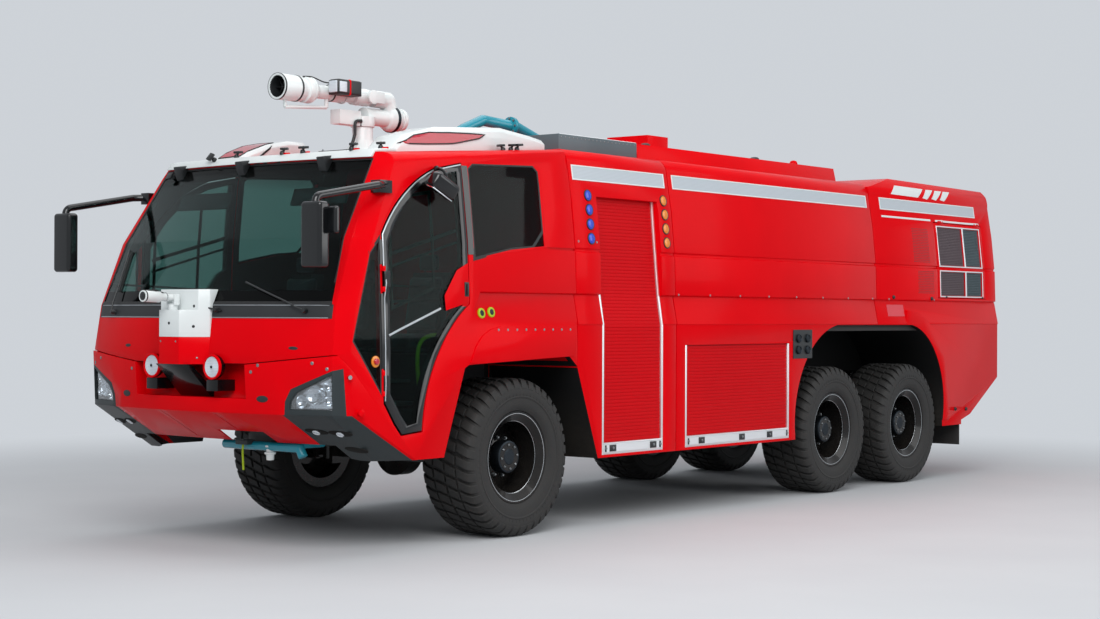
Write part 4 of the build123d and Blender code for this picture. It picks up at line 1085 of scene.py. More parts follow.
def tyreMesh(shape):
    wall = shape["wall"]
    start = Vector((0, 0, 0))
    profile = [(x, r) for x, r in wall] + [(0, shape["crown"])] + [(-x, r) for x, r in wall[::-1]]
    parts = [meshFrom("carcass", turned(profile, start, Vector((1, 0, 0)), shape["steps"], True))]
    toAxle = Matrix.Rotation(math.radians(90), 4, "Y")
    pitch = 2 * math.pi / shape["lugCount"]
    for side in (1, -1):
        for section, stagger in ((shape["shoulder"], 0.0), (shape["centre"], 0.5)):
            lug = lugMesh(section, shape["lugHalf"], side * shape["lugSlant"], side, shape["crown"])
            ring = grown("ring", None, lug, "tyreRubber", {
                "Count": shape["lugCount"], "Radius": shape["crown"],
                "Start Angle": pitch * (stagger + (0.25 if side > 0 else -0.25)),
            })
            ring.transform(toAxle)
            parts.append(ring)
        rib = lugMesh([(-0.013, 0.2755), (0.013, 0.2755), (0.013, 0.2778), (-0.013, 0.2778)], 0.004, 0, side,
                      shape["ribRadius"])
        ribs = grown("ring", None, rib, "tyreRubber",
                     {"Count": shape["ribCount"], "Radius": shape["ribRadius"], "Start Angle": 0.0})
        ribs.transform(toAxle)
        parts.append(ribs)
    return joined("tyre", parts)


def wheelTrimMesh(shape):
    start = Vector((0, 0, 0))
    ahead = Vector((1, 0, 0))
    toAxle = Matrix.Rotation(math.radians(90), 4, "Y")
    nut = hexNut(fixings["nutAcross"], fixings["nutHeight"], fixings["boltRadius"])
    nuts = grown("ring", None, nut, "zincScrew",
                 {"Count": shape["nutCount"], "Radius": shape["nutRadius"], "Start Angle": 0.2})
    nuts.transform(toAxle)
    nuts.transform(Matrix.Translation((shape["nutAlong"], 0, 0)))
    bolt = hexNut(0.022, 0.010, 0.006)
    bolts = grown("ring", None, bolt, "zincScrew",
                  {"Count": shape["coverBolts"], "Radius": shape["coverBoltRadius"], "Start Angle": 0.1})
    bolts.transform(toAxle)
    bolts.transform(Matrix.Translation((shape["coverFace"] + 0.002, 0, 0)))
    r, back, face = shape["coverRadius"], shape["coverBack"], shape["coverFace"]
    cover = turned([(back, r + 0.006), (face - 0.02, r + 0.006), (face - 0.004, r), (face, r - 0.008),
                    (face + 0.001, 0.07), (face + 0.006, 0.062), (face + 0.007, 0.0)], start, ahead, 40)
    # the two thin polished rings on the black rim are painted highlights: they stand for the gloss arcs on the rim
    ring = turned([(shape["ringAlong"] - 0.004, 0.374), (shape["ringAlong"] + 0.001, 0.374),
                   (shape["ringAlong"] + 0.0015, 0.379), (shape["ringAlong"] - 0.004, 0.380)], start, ahead, 72, True)
    inner = turned([(0.178, 0.3135), (0.180, 0.3095), (0.186, 0.3095), (0.188, 0.3135)], start, ahead, 72, True)
    return {"nuts": joined("nuts", [nuts, bolts]), "cover": meshOf(cover, "cover"),
            "rings": joined("rings", [meshOf(ring), meshOf(inner)])}


tyre = tyreMesh(tyreShape)
trim = wheelTrimMesh(wheelShape)
for name in [n for n in nodes if n.startswith("tyre_")]:
    low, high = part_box(name)
    centre = (Vector(low) + Vector(high)) / 2
    spot = Matrix.Translation(centre) @ Matrix.Rotation(0 if centre.x > 0 else math.pi, 4, "Z")
    corner = name.replace("tyre_", "")
    # the rim rings in polished steel are painted highlights
    for label, source, look, stands in (
        ("tyre", tyre, "tyreRubber", (name,)), ("wheelNuts", trim["nuts"], "zincScrew", ()),
        ("hubCover", trim["cover"], "gunMetal", ()), ("rimRings", trim["rings"], "polishedSteel", ()),
    ):
        mesh = source.copy()
        mesh.transform(spot)
        addPiece(label + "_" + corner, mesh, [look], bodyOf[name], stands, 28)
print("wheels fitted")

# Roller shutters: interlocking slats on each curtain, aluminium foot bars with latches
shutterShape = {
    "slatPitch": 0.031, "slatHalf": 0.0135, "slatProud": 0.0045,
    "doors": [(1.147, 2.039, 0.77, 2.955), (2.469, 4.306, 0.77, 1.600)],  # front y, back y, low z, high z
    "footLow": 0.66, "footHigh": 0.735, "footThick": 0.006, "latchInset": 0.13,
}


def makeShutters(shape):
    curtain = skinTree(["roller_shutters"])
    steps = 40
    slats, feet, latches, knobs = [], [], [], []
    half, proud = shape["slatHalf"], shape["slatProud"]
    for y0, y1, z0, z1 in shape["doors"]:
        middle = (y0 + y1) / 2
        path = [onSide(middle, z0 + (z1 - z0) * k / steps, 1, curtain)[0] for k in range(steps + 1)]
        section = [(-0.001, -half), (proud * 0.7, -half * 0.8), (proud, 0), (proud * 0.7, half * 0.8), (-0.001, half)]
        bm = bmesh.new()
        ends = [[bm.verts.new((x, y, z)) for x, z in section] for y in (-(y1 - y0) / 2, (y1 - y0) / 2)]
        bm.faces.new(ends[0])
        bm.faces.new(ends[1][::-1])
        wall(bm, *ends)
        slat = meshFrom("slat", bm)
        slats.append(grown("path", pathMesh(path), slat, "shutterEnamel",
                           {"Pitch": shape["slatPitch"], "Facing": (1, 0, 0)}))
        low, high = shape["footLow"], shape["footHigh"]
        thick = shape["footThick"]
        for z, tall, deep in (((low + high) / 2, high - low, thick), (high + 0.004, 0.01, thick + 0.004)):
            feet.append(meshOf(ribbon(sideRun([(y0 - 0.012, z), (y1 + 0.012, z)]), tall, deep)))
        inset = shape["latchInset"]
        narrow = y1 - y0 < 1
        spots = (y0 + inset, y1 - inset) if narrow else (y0 + 0.25, middle + 0.05, y1 - 0.35)
        for y in list(spots) + [y0 + 0.02, y1 - 0.02]:
            where = onSide(y, (low + high) / 2)[0]
            wide = 0.05 if y in spots else 0.014
            base = boxBetween((where.x - 0.002, y - wide, low + 0.006), (where.x + 0.011, y + wide, high - 0.008))
            latches.append(withBevel(meshOf(base), 0.003))
            knobs.append(meshOf(turned([(0, 0.013), (0.008, 0.013), (0.011, 0.009), (0.011, 0)],
                                       where + Vector((0.01, 0, 0)), where + Vector((1, 0, 0)), 16)))
    for label, parts, look in (("shutterSlats", slats, "shutterEnamel"), ("shutterFeet", feet, "brightTrim"),
                               ("shutterLatches", latches, "absBlack"), ("shutterKnobs", knobs, "zincScrew")):
        addBoth(label, joined(label, parts), look)


makeShutters(shutterShape)
print("shutters made")

# Bands, lines and panels on the sides
sideTrim = {
    "bands": [(0.80, 2.215), (2.36, 6.13), (6.45, 8.82)], "bandLow": 3.118, "bandHigh": 3.242, "bandFrame": 0.013,
    "lines": [((6.455, 3.036), (7.64, 3.036)), ((7.76, 3.036), (8.91, 3.036))], "lineWidth": 0.022,
    "screwRows": [(-0.36, 0.62, 1.775), (0.80, 1.07, 2.56), (2.34, 6.12, 2.10), (6.5, 7.6, 2.10)],
    "stripePlace": [(6.733, 3.300), (7.389, 3.293), (7.56, 3.400), (6.871, 3.406)], "slants": (7.507, 7.734, 7.944),
    "slant": [(0, 3.293), (0.109, 3.281), (0.30, 3.400), (0.129, 3.398)],
}


def makeSideTrim(shape):
    white, field = [], []
    middle = (shape["bandLow"] + shape["bandHigh"]) / 2
    for y0, y1 in shape["bands"]:
        field.append(meshOf(ribbon(sideRun([(y0, middle), (y1, middle)], step=0.4),
                                   shape["bandHigh"] - shape["bandLow"], 0.003)))
        loop = rectangle(y0, y1, shape["bandLow"], shape["bandHigh"])
        white.append(meshOf(ribbon(sideRun(loop, step=0.4, closed=True), shape["bandFrame"], 0.006, True)))
    for start, end in shape["lines"]:
        white.append(meshOf(ribbon(sideRun([start, end]), shape["lineWidth"], 0.003)))
    filled = [shape["stripePlace"]] + [[(y + dy, z) for dy, z in shape["slant"]] for y in shape["slants"]]
    for outline in filled:
        white.append(meshOf(patch(outline, onSide, 0.003, 0.006, 2)))
    addBoth("lightBandFrames", joined("bandFrames", white), "whiteEnamel")
    addBoth("lightBandFields", joined("bandFields", field), "bandLens")
    rows = []
    for y0, y1, z in shape["screwRows"]:
        count = 9 if y1 < 1 else max(2, int((y1 - y0) / 0.45))
        rows += [onSide(y0 + (y1 - y0) * k / (count - 1), z) for k in range(count)]
    mesh = scattered(rows, screwMesh(), "zincScrew", seed=3)
    addBoth("sideScrews", mesh, "zincScrew")


makeSideTrim(sideTrim)

# Grilles in the engine flaps, with flat sheets behind them that stand for the view through, and the perforated vents
# beside them, their holes drawn as dark discs of painted shade
grilleShape = {
    "cells": [(7.775, 8.422, 2.15, 2.438), (8.452, 8.880, 2.15, 2.438), (7.775, 8.422, 2.508, 2.965),
              (8.452, 8.880, 2.508, 2.965)],
    "depth": 0.022, "barPitch": 0.018, "barWidth": 0.005, "frameWidth": 0.015, "split": 8.437,
    "vents": [(7.14, 7.55, 2.54, 2.94), (7.22, 7.62, 2.18, 2.44)], "holePitch": 0.022, "holeRadius": 0.006,
    "holeHeight": 0.0016, "rowStep": 0.87,
}


def makeGrilles(shape):
    meshes, frames, backs = [], [], []
    flap = skinTree(["engine_flap_left"])
    for y0, y1, z0, z1 in shape["cells"]:
        inset = rectangle(y0, y1, z0, z1, -0.01)
        corners = [onSide(y, z, 1, flap)[0] + Vector((0.004, 0, 0)) for y, z in inset]
        bm = bmesh.new()
        bm.faces.new([bm.verts.new(c) for c in corners])
        backs.append(meshFrom("back", bm, False))
        lowMid, highMid = (corners[0] + corners[1]) / 2, (corners[2] + corners[3]) / 2
        upward = highMid - lowMid
        tilt = Matrix(((0, 0, 1), (1, 0, 0), (0, 1, 0))).to_4x4()  # grid X runs along y, grid Y runs up
        lean = Matrix.Rotation(-math.atan2(-upward.x, upward.z), 4, "Y")
        wide, tall = y1 - y0 - 0.02, upward.length
        for width, height, columns, rows, turn in (
            (wide, 0, int(wide / shape["barPitch"]), 1, False), (0, tall, 1, int(tall / shape["barPitch"]), True),
        ):
            b = shape["barWidth"] / 2
            lengthX, lengthY = (b, tall / 2) if not turn else (wide / 2, b)
            bar = meshFromBox((-lengthX, -lengthY, -b), (lengthX, lengthY, b))
            grid = grown("grid", None, bar, "gunMetal", {
                "Width": width, "Height": height, "Columns": max(1, columns), "Rows": max(1, rows),
            })
            grid.transform(tilt)
            grid.transform(lean)
            grid.transform(Matrix.Translation((lowMid + highMid) / 2 + Vector((shape["depth"] / 2, 0, 0))))
            meshes.append(grid)
        edge = shape["frameWidth"] / 2
        loop = rectangle(y0, y1, z0, z1, edge)
        frames.append(meshOf(ribbon(sideRun(loop, 1, 0.3, flap, True), shape["frameWidth"], 0.005, True)))
    # the flat sheet behind each grille stands for the view through the mesh: black behind the rear cells, as painted
    # shade, and grey-brown behind the front cells
    for label, parts, looks in (("grilleMesh", meshes, ["grilleWire", "wellEnamel"]),
                                ("grilleFrames", frames, ["brightTrim"]),
                                ("grilleBacks", backs, ["grilleBack", "archCoating"])):
        mesh = joined(label, parts)
        for face in mesh.polygons:
            face.material_index = int(len(looks) > 1 and face.center.y - axleY > shape["split"])
        other = mirrored(mesh)
        addPiece(label + "_left", mesh, looks, "engine_flap_left")
        addPiece(label + "_right", other, looks, "engine_flap_right")


def makeVents(shape):
    holes = []
    pitch, step = shape["holePitch"], shape["rowStep"]
    for y0, y1, z0, z1 in shape["vents"]:
        for row in range(int((z1 - z0) / (pitch * step)) + 1):
            shift = pitch / 2 * (row % 2)
            count = int((y1 - y0) / pitch)
            holes += [onSide(y0 + shift + k * pitch, z0 + row * pitch * step) for k in range(count)]
    start = Vector((0, 0, -0.001))
    r, high = shape["holeRadius"], shape["holeHeight"]
    # each hole is drawn as a small dark disc on the skin: painted shade standing for the dark inside of the hole
    hole = lathe([(0, r), (high, r), (high, 0)], start, Vector((0, 0, 1)), 6)
    mesh = scattered(holes, hole, "trimDark", 0.0, 1)
    addBoth("ventHoles", mesh, "trimDark")


makeGrilles(grilleShape)
makeVents(grilleShape)
print("side trim made")


def ovalPad(where, normal, across, long, short, height, steps=24):
    # a low oval boss on the skin
    across = (across - normal * across.dot(normal)).normalized()
    upward = normal.cross(across)
    bm = bmesh.new()
    rings = []
    for scale, lift in ((1.0, -0.004), (1.0, height * 0.7), (0.93, height)):
        ring = []
        for k in range(steps):
            turn = 2 * math.pi * k / steps
            wide, tall = math.cos(turn) * long * scale, math.sin(turn) * short * scale
            ring.append(bm.verts.new(where + across * wide + upward * tall + normal * lift))
        rings.append(ring)
    for first, second in zip(rings, rings[1:]):
        wall(bm, first, second)
    bm.faces.new(rings[-1])
    bm.faces.new(rings[0][::-1])
    return meshOf(bm, "oval")


def arcThrough(a, b, c, steps):
    # points of the circle through three places in the plane
    ax, ay, bx, by, cx, cy = *a, *b, *c
    d = 2 * (ax * (by - cy) + bx * (cy - ay) + cx * (ay - by))
    ux = ((ax * ax + ay * ay) * (by - cy) + (bx * bx + by * by) * (cy - ay) + (cx * cx + cy * cy) * (ay - by)) / d
    uy = ((ax * ax + ay * ay) * (cx - bx) + (bx * bx + by * by) * (ax - cx) + (cx * cx + cy * cy) * (bx - ax)) / d
    radius = math.hypot(ax - ux, ay - uy)
    start, middle, end = (math.atan2(p[1] - uy, p[0] - ux) for p in (a, b, c))
    turn = (end - start) % (2 * math.pi)
    if (middle - start) % (2 * math.pi) > turn:
        turn -= 2 * math.pi
    return [(ux + radius * math.cos(start + turn * k / steps),
             uy + radius * math.sin(start + turn * k / steps)) for k in range(steps + 1)]


# Headlamps: a clear cover over chromed bowls in a silver tray
headlampShape = {
    "glass": [(1.067, 1.166), (1.077, 1.226), (1.132, 1.293), (1.434, 1.434), (1.434, 1.166)],
    "bowls": [(1.265, 1.275, 0.074), (1.150, 1.225, 0.050), (1.383, 1.345, 0.040), (1.385, 1.235, 0.042)],
    "trayBack": 0.058, "bowlBack": 0.016, "bowlDepth": 0.036,
}


def makeHeadlamps(shape):
    lampSkin = skinTree(["front_lamps"])

    def find(x, z):
        return onFront(x, z, lampSkin)

    cover = patch(shape["glass"], find, 0.0, 0.004, 3)
    tray = patch(shape["glass"], find, -shape["trayBack"], 0.006, 3)
    bowls, bulbs = [], []
    for x, z, radius in shape["bowls"]:
        where, normal = find(x, z)
        inward = (Vector((0, 1, 0)) - normal * 0.6).normalized()
        start = where + inward * shape["bowlBack"]
        deep = shape["bowlDepth"]
        bowls.append(lathe([(0.0, radius * 1.08), (0.0, radius), (0.004, radius * 0.97), (deep * 0.5, radius * 0.8),
                                    (deep * 0.9, radius * 0.45), (deep, radius * 0.2), (deep + 0.002, 0.0),
                                    (deep + 0.006, radius * 0.3), (deep + 0.004, radius * 1.02)], start, inward, 28,
                                    True))
        bulbs.append(meshOf(turned([(0, 0.0), (0.002, radius * 0.16), (0.014, radius * 0.22), (0.03, radius * 0.2),
                                    (0.034, 0)], start + inward * 0.006, start + inward, 14)))
    addPiece("headlampCovers", bothSides(meshOf(cover)), ["clearLens"], "chassis", ("front_lamps",), 0)
    addBoth("headlampTrays", meshOf(tray), "chromeReflector")
    addBoth("headlampBowls", joined("bowls", bowls), "chromeReflector")
    addBoth("headlampBulbs", joined("bulbs", bulbs), "frostLens")


makeHeadlamps(headlampShape)

# Work lamps beside the bumper turret: a black can, a red rim and a ribbed white lens
workLampShape = {"x": 0.364, "z": 1.48, "front": -2.515, "back": -2.415, "radius": 0.1, "lens": 0.084}


def makeWorkLamps(shape):
    start = at(shape["x"], shape["back"], shape["z"])
    ahead = Vector((0, -1, 0))
    long = shape["back"] - shape["front"]
    r = shape["radius"]
    can = lathe([(0.0, 0.0), (0.0, r * 0.55), (0.02, r * 0.8), (0.05, r * 0.96), (long - 0.022, r * 0.97),
                 (long - 0.022, r * 0.8), (long - 0.02, 0)], start, ahead, 40)
    rim = lathe([(long - 0.024, shape["lens"]), (long - 0.024, r * 0.985), (long - 0.003, r), (long, r * 0.965),
                 (long, shape["lens"] + 0.003), (long - 0.004, shape["lens"])], start, ahead, 40, True)
    rings = [(long - 0.018, shape["lens"] + 0.001)]
    for k in range(7):
        radius = shape["lens"] * (1 - k / 7)
        rings += [(long - 0.009 + 0.0004 * k, radius - 0.001), (long - 0.006 + 0.0006 * k, radius - 0.006)]
    lens = lathe(rings + [(long - 0.003, 0)], start, ahead, 40)
    dot = lathe([(long - 0.004, 0.011), (long + 0.002, 0.010), (long + 0.003, 0)], start, ahead, 14)
    addBoth("workLampCans", can, "blackEnamel")
    addBoth("workLampRims", rim, "redEnamel")
    addPiece("workLampLenses", bothSides(lens), ["frostLens"], smooth=12)
    addBoth("workLampDots", dot, "gunMetal")


makeWorkLamps(workLampShape)

# The bumper's small things: screws, slots, fog lamps and the dark ovals round them
bumperTrim = {
    "screws": [(-1.278, 1.523), (1.278, 1.523), (-0.72, 1.447), (0.72, 1.447), (0.79, 1.50), (-1.40, 1.48),
               (1.40, 1.48)],
    "slots": [(-0.79, 1.637), (1.105, 1.637)], "ovals": [(-0.82, 1.238), (0.82, 1.238)],
    "fogs": [(1.13, 0.985), (1.335, 0.975)], "fogRadius": 0.033, "wellLong": 0.105, "wellShort": 0.040,
    "lowerOval": (1.31, 0.835),
}


def makeBumperTrim(shape):
    screws = [onFront(x, z) for x, z in shape["screws"]]
    setPieces("bumperScrews", screws, roundHead(0.014, 0.005), "zincScrew")
    dark, wells, rims, glasses = [], [], [], []
    # the slots, openings in the bumper top, are drawn as dark raised pads: painted shade; the ovals are dark raised
    # pads as well
    for key, size in (("slots", (0.042, 0.013, 0.003)), ("ovals", (0.055, 0.026, 0.004))):
        for x, z in shape[key]:
            dark.append(ovalPad(*onFront(x, z), Vector((1, 0, 0)), *size))
    for x, z in shape["fogs"] + [shape["lowerOval"]]:
        for side in (1, -1):
            found = onFront(side * x, z)
            if not found:
                continue
            where, normal = found
            wells.append(ovalPad(where, normal, Vector((side, 0.3, -0.1)), shape["wellLong"], shape["wellShort"],
                                 0.003))
            if (x, z) != shape["lowerOval"]:
                r = shape["fogRadius"]
                rims.append(lathe([(0, r), (0.012, r), (0.015, r * 0.9), (0.012, r * 0.8), (0.002, r * 0.75)], where,
                                  normal, 20, True))
                glasses.append(lathe([(0.002, r * 0.82), (0.008, r * 0.78), (0.012, r * 0.5), (0.013, 0)], where,
                                     normal, 20))
    addPiece("bumperSlots", joined("slots", dark), ["trimDark"])
    addPiece("fogWells", joined("wells", wells), ["archCoating"])
    addPiece("fogRims", joined("rims", rims), ["chromeReflector"])
    addPiece("fogGlasses", joined("glasses", glasses), ["frostLens"])
    knob = onSide(-2.03, 1.14)
    cap = lathe([(0, 0.022), (0.03, 0.022), (0.032, 0.028), (0.05, 0.028), (0.055, 0.018), (0.055, 0)], knob[0],
                Vector((1, -0.2, 0)), 16)
    addBoth("cornerKnobs", cap, "redEnamel")
    latch = onSide(-2.126, 1.416)
    addBoth("cornerBolts", lathe([(0, 0.012), (0.02, 0.012), (0.024, 0.017), (0.034, 0.017), (0.036, 0)], latch[0],
                                 Vector((1, -0.4, 0)), 12), "polishedSteel")


makeBumperTrim(bumperTrim)
print("front made")

# Windscreen seal, cowl lines, wipers and the brackets under the roof edge
screenTrim = {
    "seal": [(-1.385, 1.985), (1.385, 1.985), (1.245, 3.145), (-1.245, 3.145)], "sealWidth": 0.030,
    "cowlLines": (1.872, 1.970), "cowlHalf": 1.37,
    "wipers": [((1.18, 1.925), (0.58, 2.137)), ((0.35, 1.93), (0.02, 1.99)), ((-1.084, 1.912), (-1.134, 2.427))],
    "brackets": [-0.12, 0.80, -0.98], "bracketHeight": 3.14, "bladeReach": 0.36, "bladeParts": (0.0, 0.35, 0.7, 1.05),
    "bracketSide": [(0.03, 0.05), (-0.10, 0.03), (-0.075, -0.05), (-0.035, -0.12), (-0.01, -0.115), (0.01, -0.03)],
    "bracketHook": [(0, -0.04, -0.11), (0.01, -0.045, -0.16), (-0.01, -0.055, -0.185)],
}


def makeScreenTrim(shape):
    seal = ribbon(frontRun(shape["seal"], 0.08, closed=True), shape["sealWidth"], 0.005, True)
    addPiece("windscreenSeal", meshOf(seal), ["gasketRubber"])
    half = shape["cowlHalf"]
    lines = [meshOf(ribbon(frontRun([(-half, z), (half, z)]), 0.008, 0.003)) for z in shape["cowlLines"]]
    addPiece("cowlLines", joined("lines", lines), ["anodisedAluminium"])
    arms, blades = [], []
    for (x0, z0), (x1, z1) in shape["wipers"]:
        run = frontRun([(x0, z0), (x1, z1)], 0.06)
        lifted = [p + n * 0.035 for p, n in run]
        arms.append(tube([lifted[0]] + lifted[1:-1:2] + [lifted[-1]], 0.007, 8, False))
        pivot, normal = run[0]
        arms.append(lathe([(-0.004, 0.022), (0.030, 0.020), (0.046, 0.016), (0.048, 0)], pivot, normal, 16))
        tip, tipNormal = run[-1]
        side = (run[-1][0] - run[0][0]).normalized()
        marks = [tip - side * k * shape["bladeReach"] for k in shape["bladeParts"]]
        ends = [onFront(mark.x, mark.z) for mark in marks]
        ends = [e for e in ends if e]
        blades.append(meshOf(ribbon(ends, 0.008, 0.022)))
        arms.append(tube([tip + tipNormal * 0.036, tip + tipNormal * 0.02], 0.009, 8, False))
    addPiece("wiperArms", joined("arms", arms), ["absBlack"])
    addPiece("wiperBlades", joined("blades", blades), ["gasketRubber"])
    brackets = []
    for x in shape["brackets"]:
        z = shape["bracketHeight"]
        y = onFront(x, z)[0].y - axleY
        body = prism([(y + dy, z + dz) for dy, dz in shape["bracketSide"]], x - 0.04, x + 0.045)
        brackets.append(withBevel(meshOf(body), 0.008))
        brackets.append(tube([at(x + dx, y + dy, z + dz) for dx, dy, dz in shape["bracketHook"]], 0.004, 8))
    addPiece("roofEdgeBrackets", joined("brackets", brackets), ["absBlack"])


makeScreenTrim(screenTrim)

# Doors: the silver strip round the opening, rails, an inner frame and the handle
doorTrim = {
    "front": -1.722, "stripLow": 1.22, "crown": [(-1.722, 2.53), (-1.425, 2.865), (-1.058, 3.077)],
    "crownEnd": (-0.715, 3.145),
    "diagonal": [(-1.68, 1.735), (-1.06, 1.95)], "stripWidth": 0.012,
    "windowRail": [(-1.63, 2.37), (-0.80, 2.60)],
    "innerFrame": [(-1.60, 1.95), (-1.60, 2.62), (-1.36, 2.86), (-1.10, 2.90), (-1.10, 2.12)],
    "handle": (-0.735, 2.05, 2.17), "grab": [(1.34, -0.96, 1.733), (1.34, -1.13, 1.734), (1.34, -1.20, 1.533),
                                             (1.34, -1.15, 1.273)],
}


def makeDoorTrim(shape):
    crown = arcThrough(*shape["crown"], 10)
    strip = sideRun([(shape["front"], shape["stripLow"]), (shape["front"], 1.9), crown[0]], tree=doorSkin) + [
        onSide(y, z, 1, doorSkin) for y, z in crown[1:]] + [onSide(*shape["crownEnd"], 1, doorSkin)]
    strip = meshOf(ribbon([s for s in strip if s], shape["stripWidth"], 0.006))
    diagonal = meshOf(ribbon(sideRun(shape["diagonal"], tree=doorSkin), 0.018, 0.007))
    silver = joined("silver", [strip, diagonal])
    rail = meshOf(ribbon([(p - n * 0.045, n) for p, n in sideRun(shape["windowRail"], tree=doorSkin)], 0.03, 0.016))
    lowRun = sideRun([(y, z - 0.10) for y, z in shape["windowRail"]], tree=doorSkin)
    lowRail = meshOf(ribbon([(p - n * 0.045, n) for p, n in lowRun], 0.02, 0.012))
    frame = meshOf(ribbon([(p - n * 0.035, n) for p, n in sideRun(shape["innerFrame"], tree=doorSkin, closed=True)],
                          0.028, 0.012, True))
    y, z0, z1 = shape["handle"]
    where = onSide(y, (z0 + z1) / 2, 1, doorSkin)[0]
    well = withBevel(meshOf(boxBetween((where.x - 0.008, y - 0.032, z0), (where.x + 0.004, y + 0.022, z1))), 0.004)
    grip = withBevel(meshOf(boxBetween((where.x + 0.002, y - 0.012, z0 + 0.012),
                                       (where.x + 0.016, y + 0.010, z1 - 0.012))), 0.005)
    rails = joined("rails", [rail, lowRail, frame])
    handle = joined("handle", [well, grip])
    for body, turn in (("door_left", False), ("door_right", True)):
        for label, source, look in (("doorStrip", silver, "anodisedAluminium"), ("doorRails", rails, "absBlack"),
                                    ("doorHandle", handle, "absBlack")):
            mesh = mirrored(source) if turn else source.copy()
            addPiece(label + "_" + body[5:], mesh, [look], body)


makeDoorTrim(doorTrim)

cabTrim = {
    "sideWindow": [(-0.628, 2.365), (-0.628, 3.12), (-0.56, 3.163), (0.25, 3.198), (0.308, 3.15), (0.308, 2.50),
                   (-0.15, 2.457)],
    "quarter": [(-1.762, 1.27), (-1.762, 2.50), (-1.868, 2.386), (-2.082, 1.692)],
    "pillar": [(-0.670, 2.40), (-0.670, 3.14)], "frontPillar": [(-1.748, 1.475), (-1.748, 2.065)],
    "highPillar": [(-1.748, 2.295), (-1.748, 2.49)], "stop": (-1.829, 1.532),
    "rounds": [(-0.554, 1.914), (-0.427, 1.923)],
    "reflector": [(6.475, 1.972), (6.865, 1.972)], "socket": (4.41, 4.79, 1.46, 1.76),
}


def makeCabTrim(shape):
    seals = [meshOf(ribbon(sideRun(shape[key], closed=True), 0.028, 0.004, True)) for key in ("sideWindow", "quarter")]
    addBoth("windowSeals", joined("seals", seals), "gasketRubber")
    widths = {"pillar": 0.072, "frontPillar": 0.028, "highPillar": 0.028}
    pillars = [meshOf(ribbon(sideRun(shape[key]), wide, 0.003)) for key, wide in widths.items()]
    addBoth("pillarTrims", joined("pillars", pillars), "absGloss")
    where, normal = onSide(*shape["stop"])
    ring = lathe([(-0.002, 0.046), (0.006, 0.045), (0.008, 0.040), (0.007, 0)], where, normal, 28)
    button = lathe([(0.006, 0.024), (0.022, 0.024), (0.028, 0.018), (0.028, 0)], where, normal, 24)
    addBoth("stopPlates", ring, "amberLens")
    addBoth("stopButtons", button, "redLens")
    plates, hearts = [], []
    for y, z in shape["rounds"]:
        where, normal = onSide(y, z)
        plates.append(lathe([(-0.002, 0.044), (0.010, 0.043), (0.013, 0.038), (0.013, 0.026), (0.010, 0.025)], where,
                            normal, 28))
        hearts.append(lathe([(0.0, 0.026), (0.012, 0.025), (0.015, 0.020), (0.015, 0)], where, normal, 24))
    addBoth("fillerRings", joined("fillers", plates), "yellowEnamel")
    addBoth("fillerCaps", joined("hearts", hearts), "gunMetal")
    addBoth("sideReflectors", meshOf(ribbon(sideRun(shape["reflector"], step=0.1), 0.135, 0.003)), "reflectiveFilm")
    y0, y1, z0, z1 = shape["socket"]
    plate = meshOf(ribbon(sideRun([(y0, (z0 + z1) / 2), (y1, (z0 + z1) / 2)]), z1 - z0, 0.006))
    sockets = []
    for y, z in ((y0 + 0.10, z1 - 0.09), (y1 - 0.10, z1 - 0.09), (y0 + 0.10, z0 + 0.09), (y1 - 0.10, z0 + 0.09)):
        where, normal = onSide(y, z)
        sockets.append(lathe([(0.0, 0.046), (0.022, 0.044), (0.028, 0.036), (0.020, 0.030), (0.020, 0)], where, normal,
                             20))
    addBoth("socketPanels", plate, "absBlack")
    addBoth("sockets", joined("sockets", sockets), "gunMetal")
    grab = tube([at(*p) for p in doorTrim["grab"]], 0.017, 12)
    addBoth("grabBars", grab, "yellowEnamel")


makeCabTrim(cabTrim)
print("cab trim made")


def ringOf(piece, look, count, radius, centre, axis, start=0.0):
    # a ring of small pieces round a line
    mesh = grown("ring", None, piece, look, {"Count": count, "Radius": radius, "Start Angle": start})
    mesh.transform(axis.to_track_quat("Z", "Y").to_matrix().to_4x4())
    mesh.transform(Matrix.Translation(centre))
    return mesh


def sleeve(radius, thick, low, high, centre, axis, steps=40):
    # a thin round band between two distances along a line
    return lathe([(low, radius - thick), (low, radius), (high, radius), (high, radius - thick)], centre, axis, steps,
                 True)


# Side marker lamps: domed lenses in dark bezels, blue in front of the shutter and amber behind it
markerShape = {
    "columns": [(0.990, "blueLens"), (2.170, "amberLens")],
    "heights": [(2.590, 2.720, 2.850, 2.980), (2.590, 2.723, 2.857, 2.990)],
    "radius": 0.046, "bezel": 0.054, "height": 0.016,
}


def makeMarkers(shape):
    bezels = []
    r, b, h = shape["radius"], shape["bezel"], shape["height"]
    for (y, look), heights in zip(shape["columns"], shape["heights"]):
        domes = []
        for z in heights:
            where, normal = onSide(y, z)
            bezels.append(lathe([(-0.003, b), (0.006, b), (0.010, b - 0.003), (0.008, r), (-0.003, r - 0.002)], where,
                                normal, 28, True))
            domes.append(lathe([(0, r), (0.008, r * 0.98), (h * 0.85, r * 0.75), (h, r * 0.4), (h, 0)], where, normal,
                               28))
        mesh = joined("domes", domes)
        addPiece("markerDomes_" + look[:-4], bothSides(mesh), [look], "chassis",
                 ("marker_lamps",) if look == "blueLens" else ())
    addBoth("markerBezels", joined("bezels", bezels), "trimDark")


makeMarkers(markerShape)

# Tail lamps and the high lamps on the rear corners
tailShape = {
    "stack": [(1.20, 1.33, "clearLens"), (1.34, 1.45, "amberLens"), (1.46, 1.57, "redLens")], "x": (1.27, 1.44),
    "y": (9.262, 9.302),
    "backZ": (1.19, 1.582),
    "high": ((1.17, 9.225, 3.14), (1.35, 9.262, 3.35)),
}


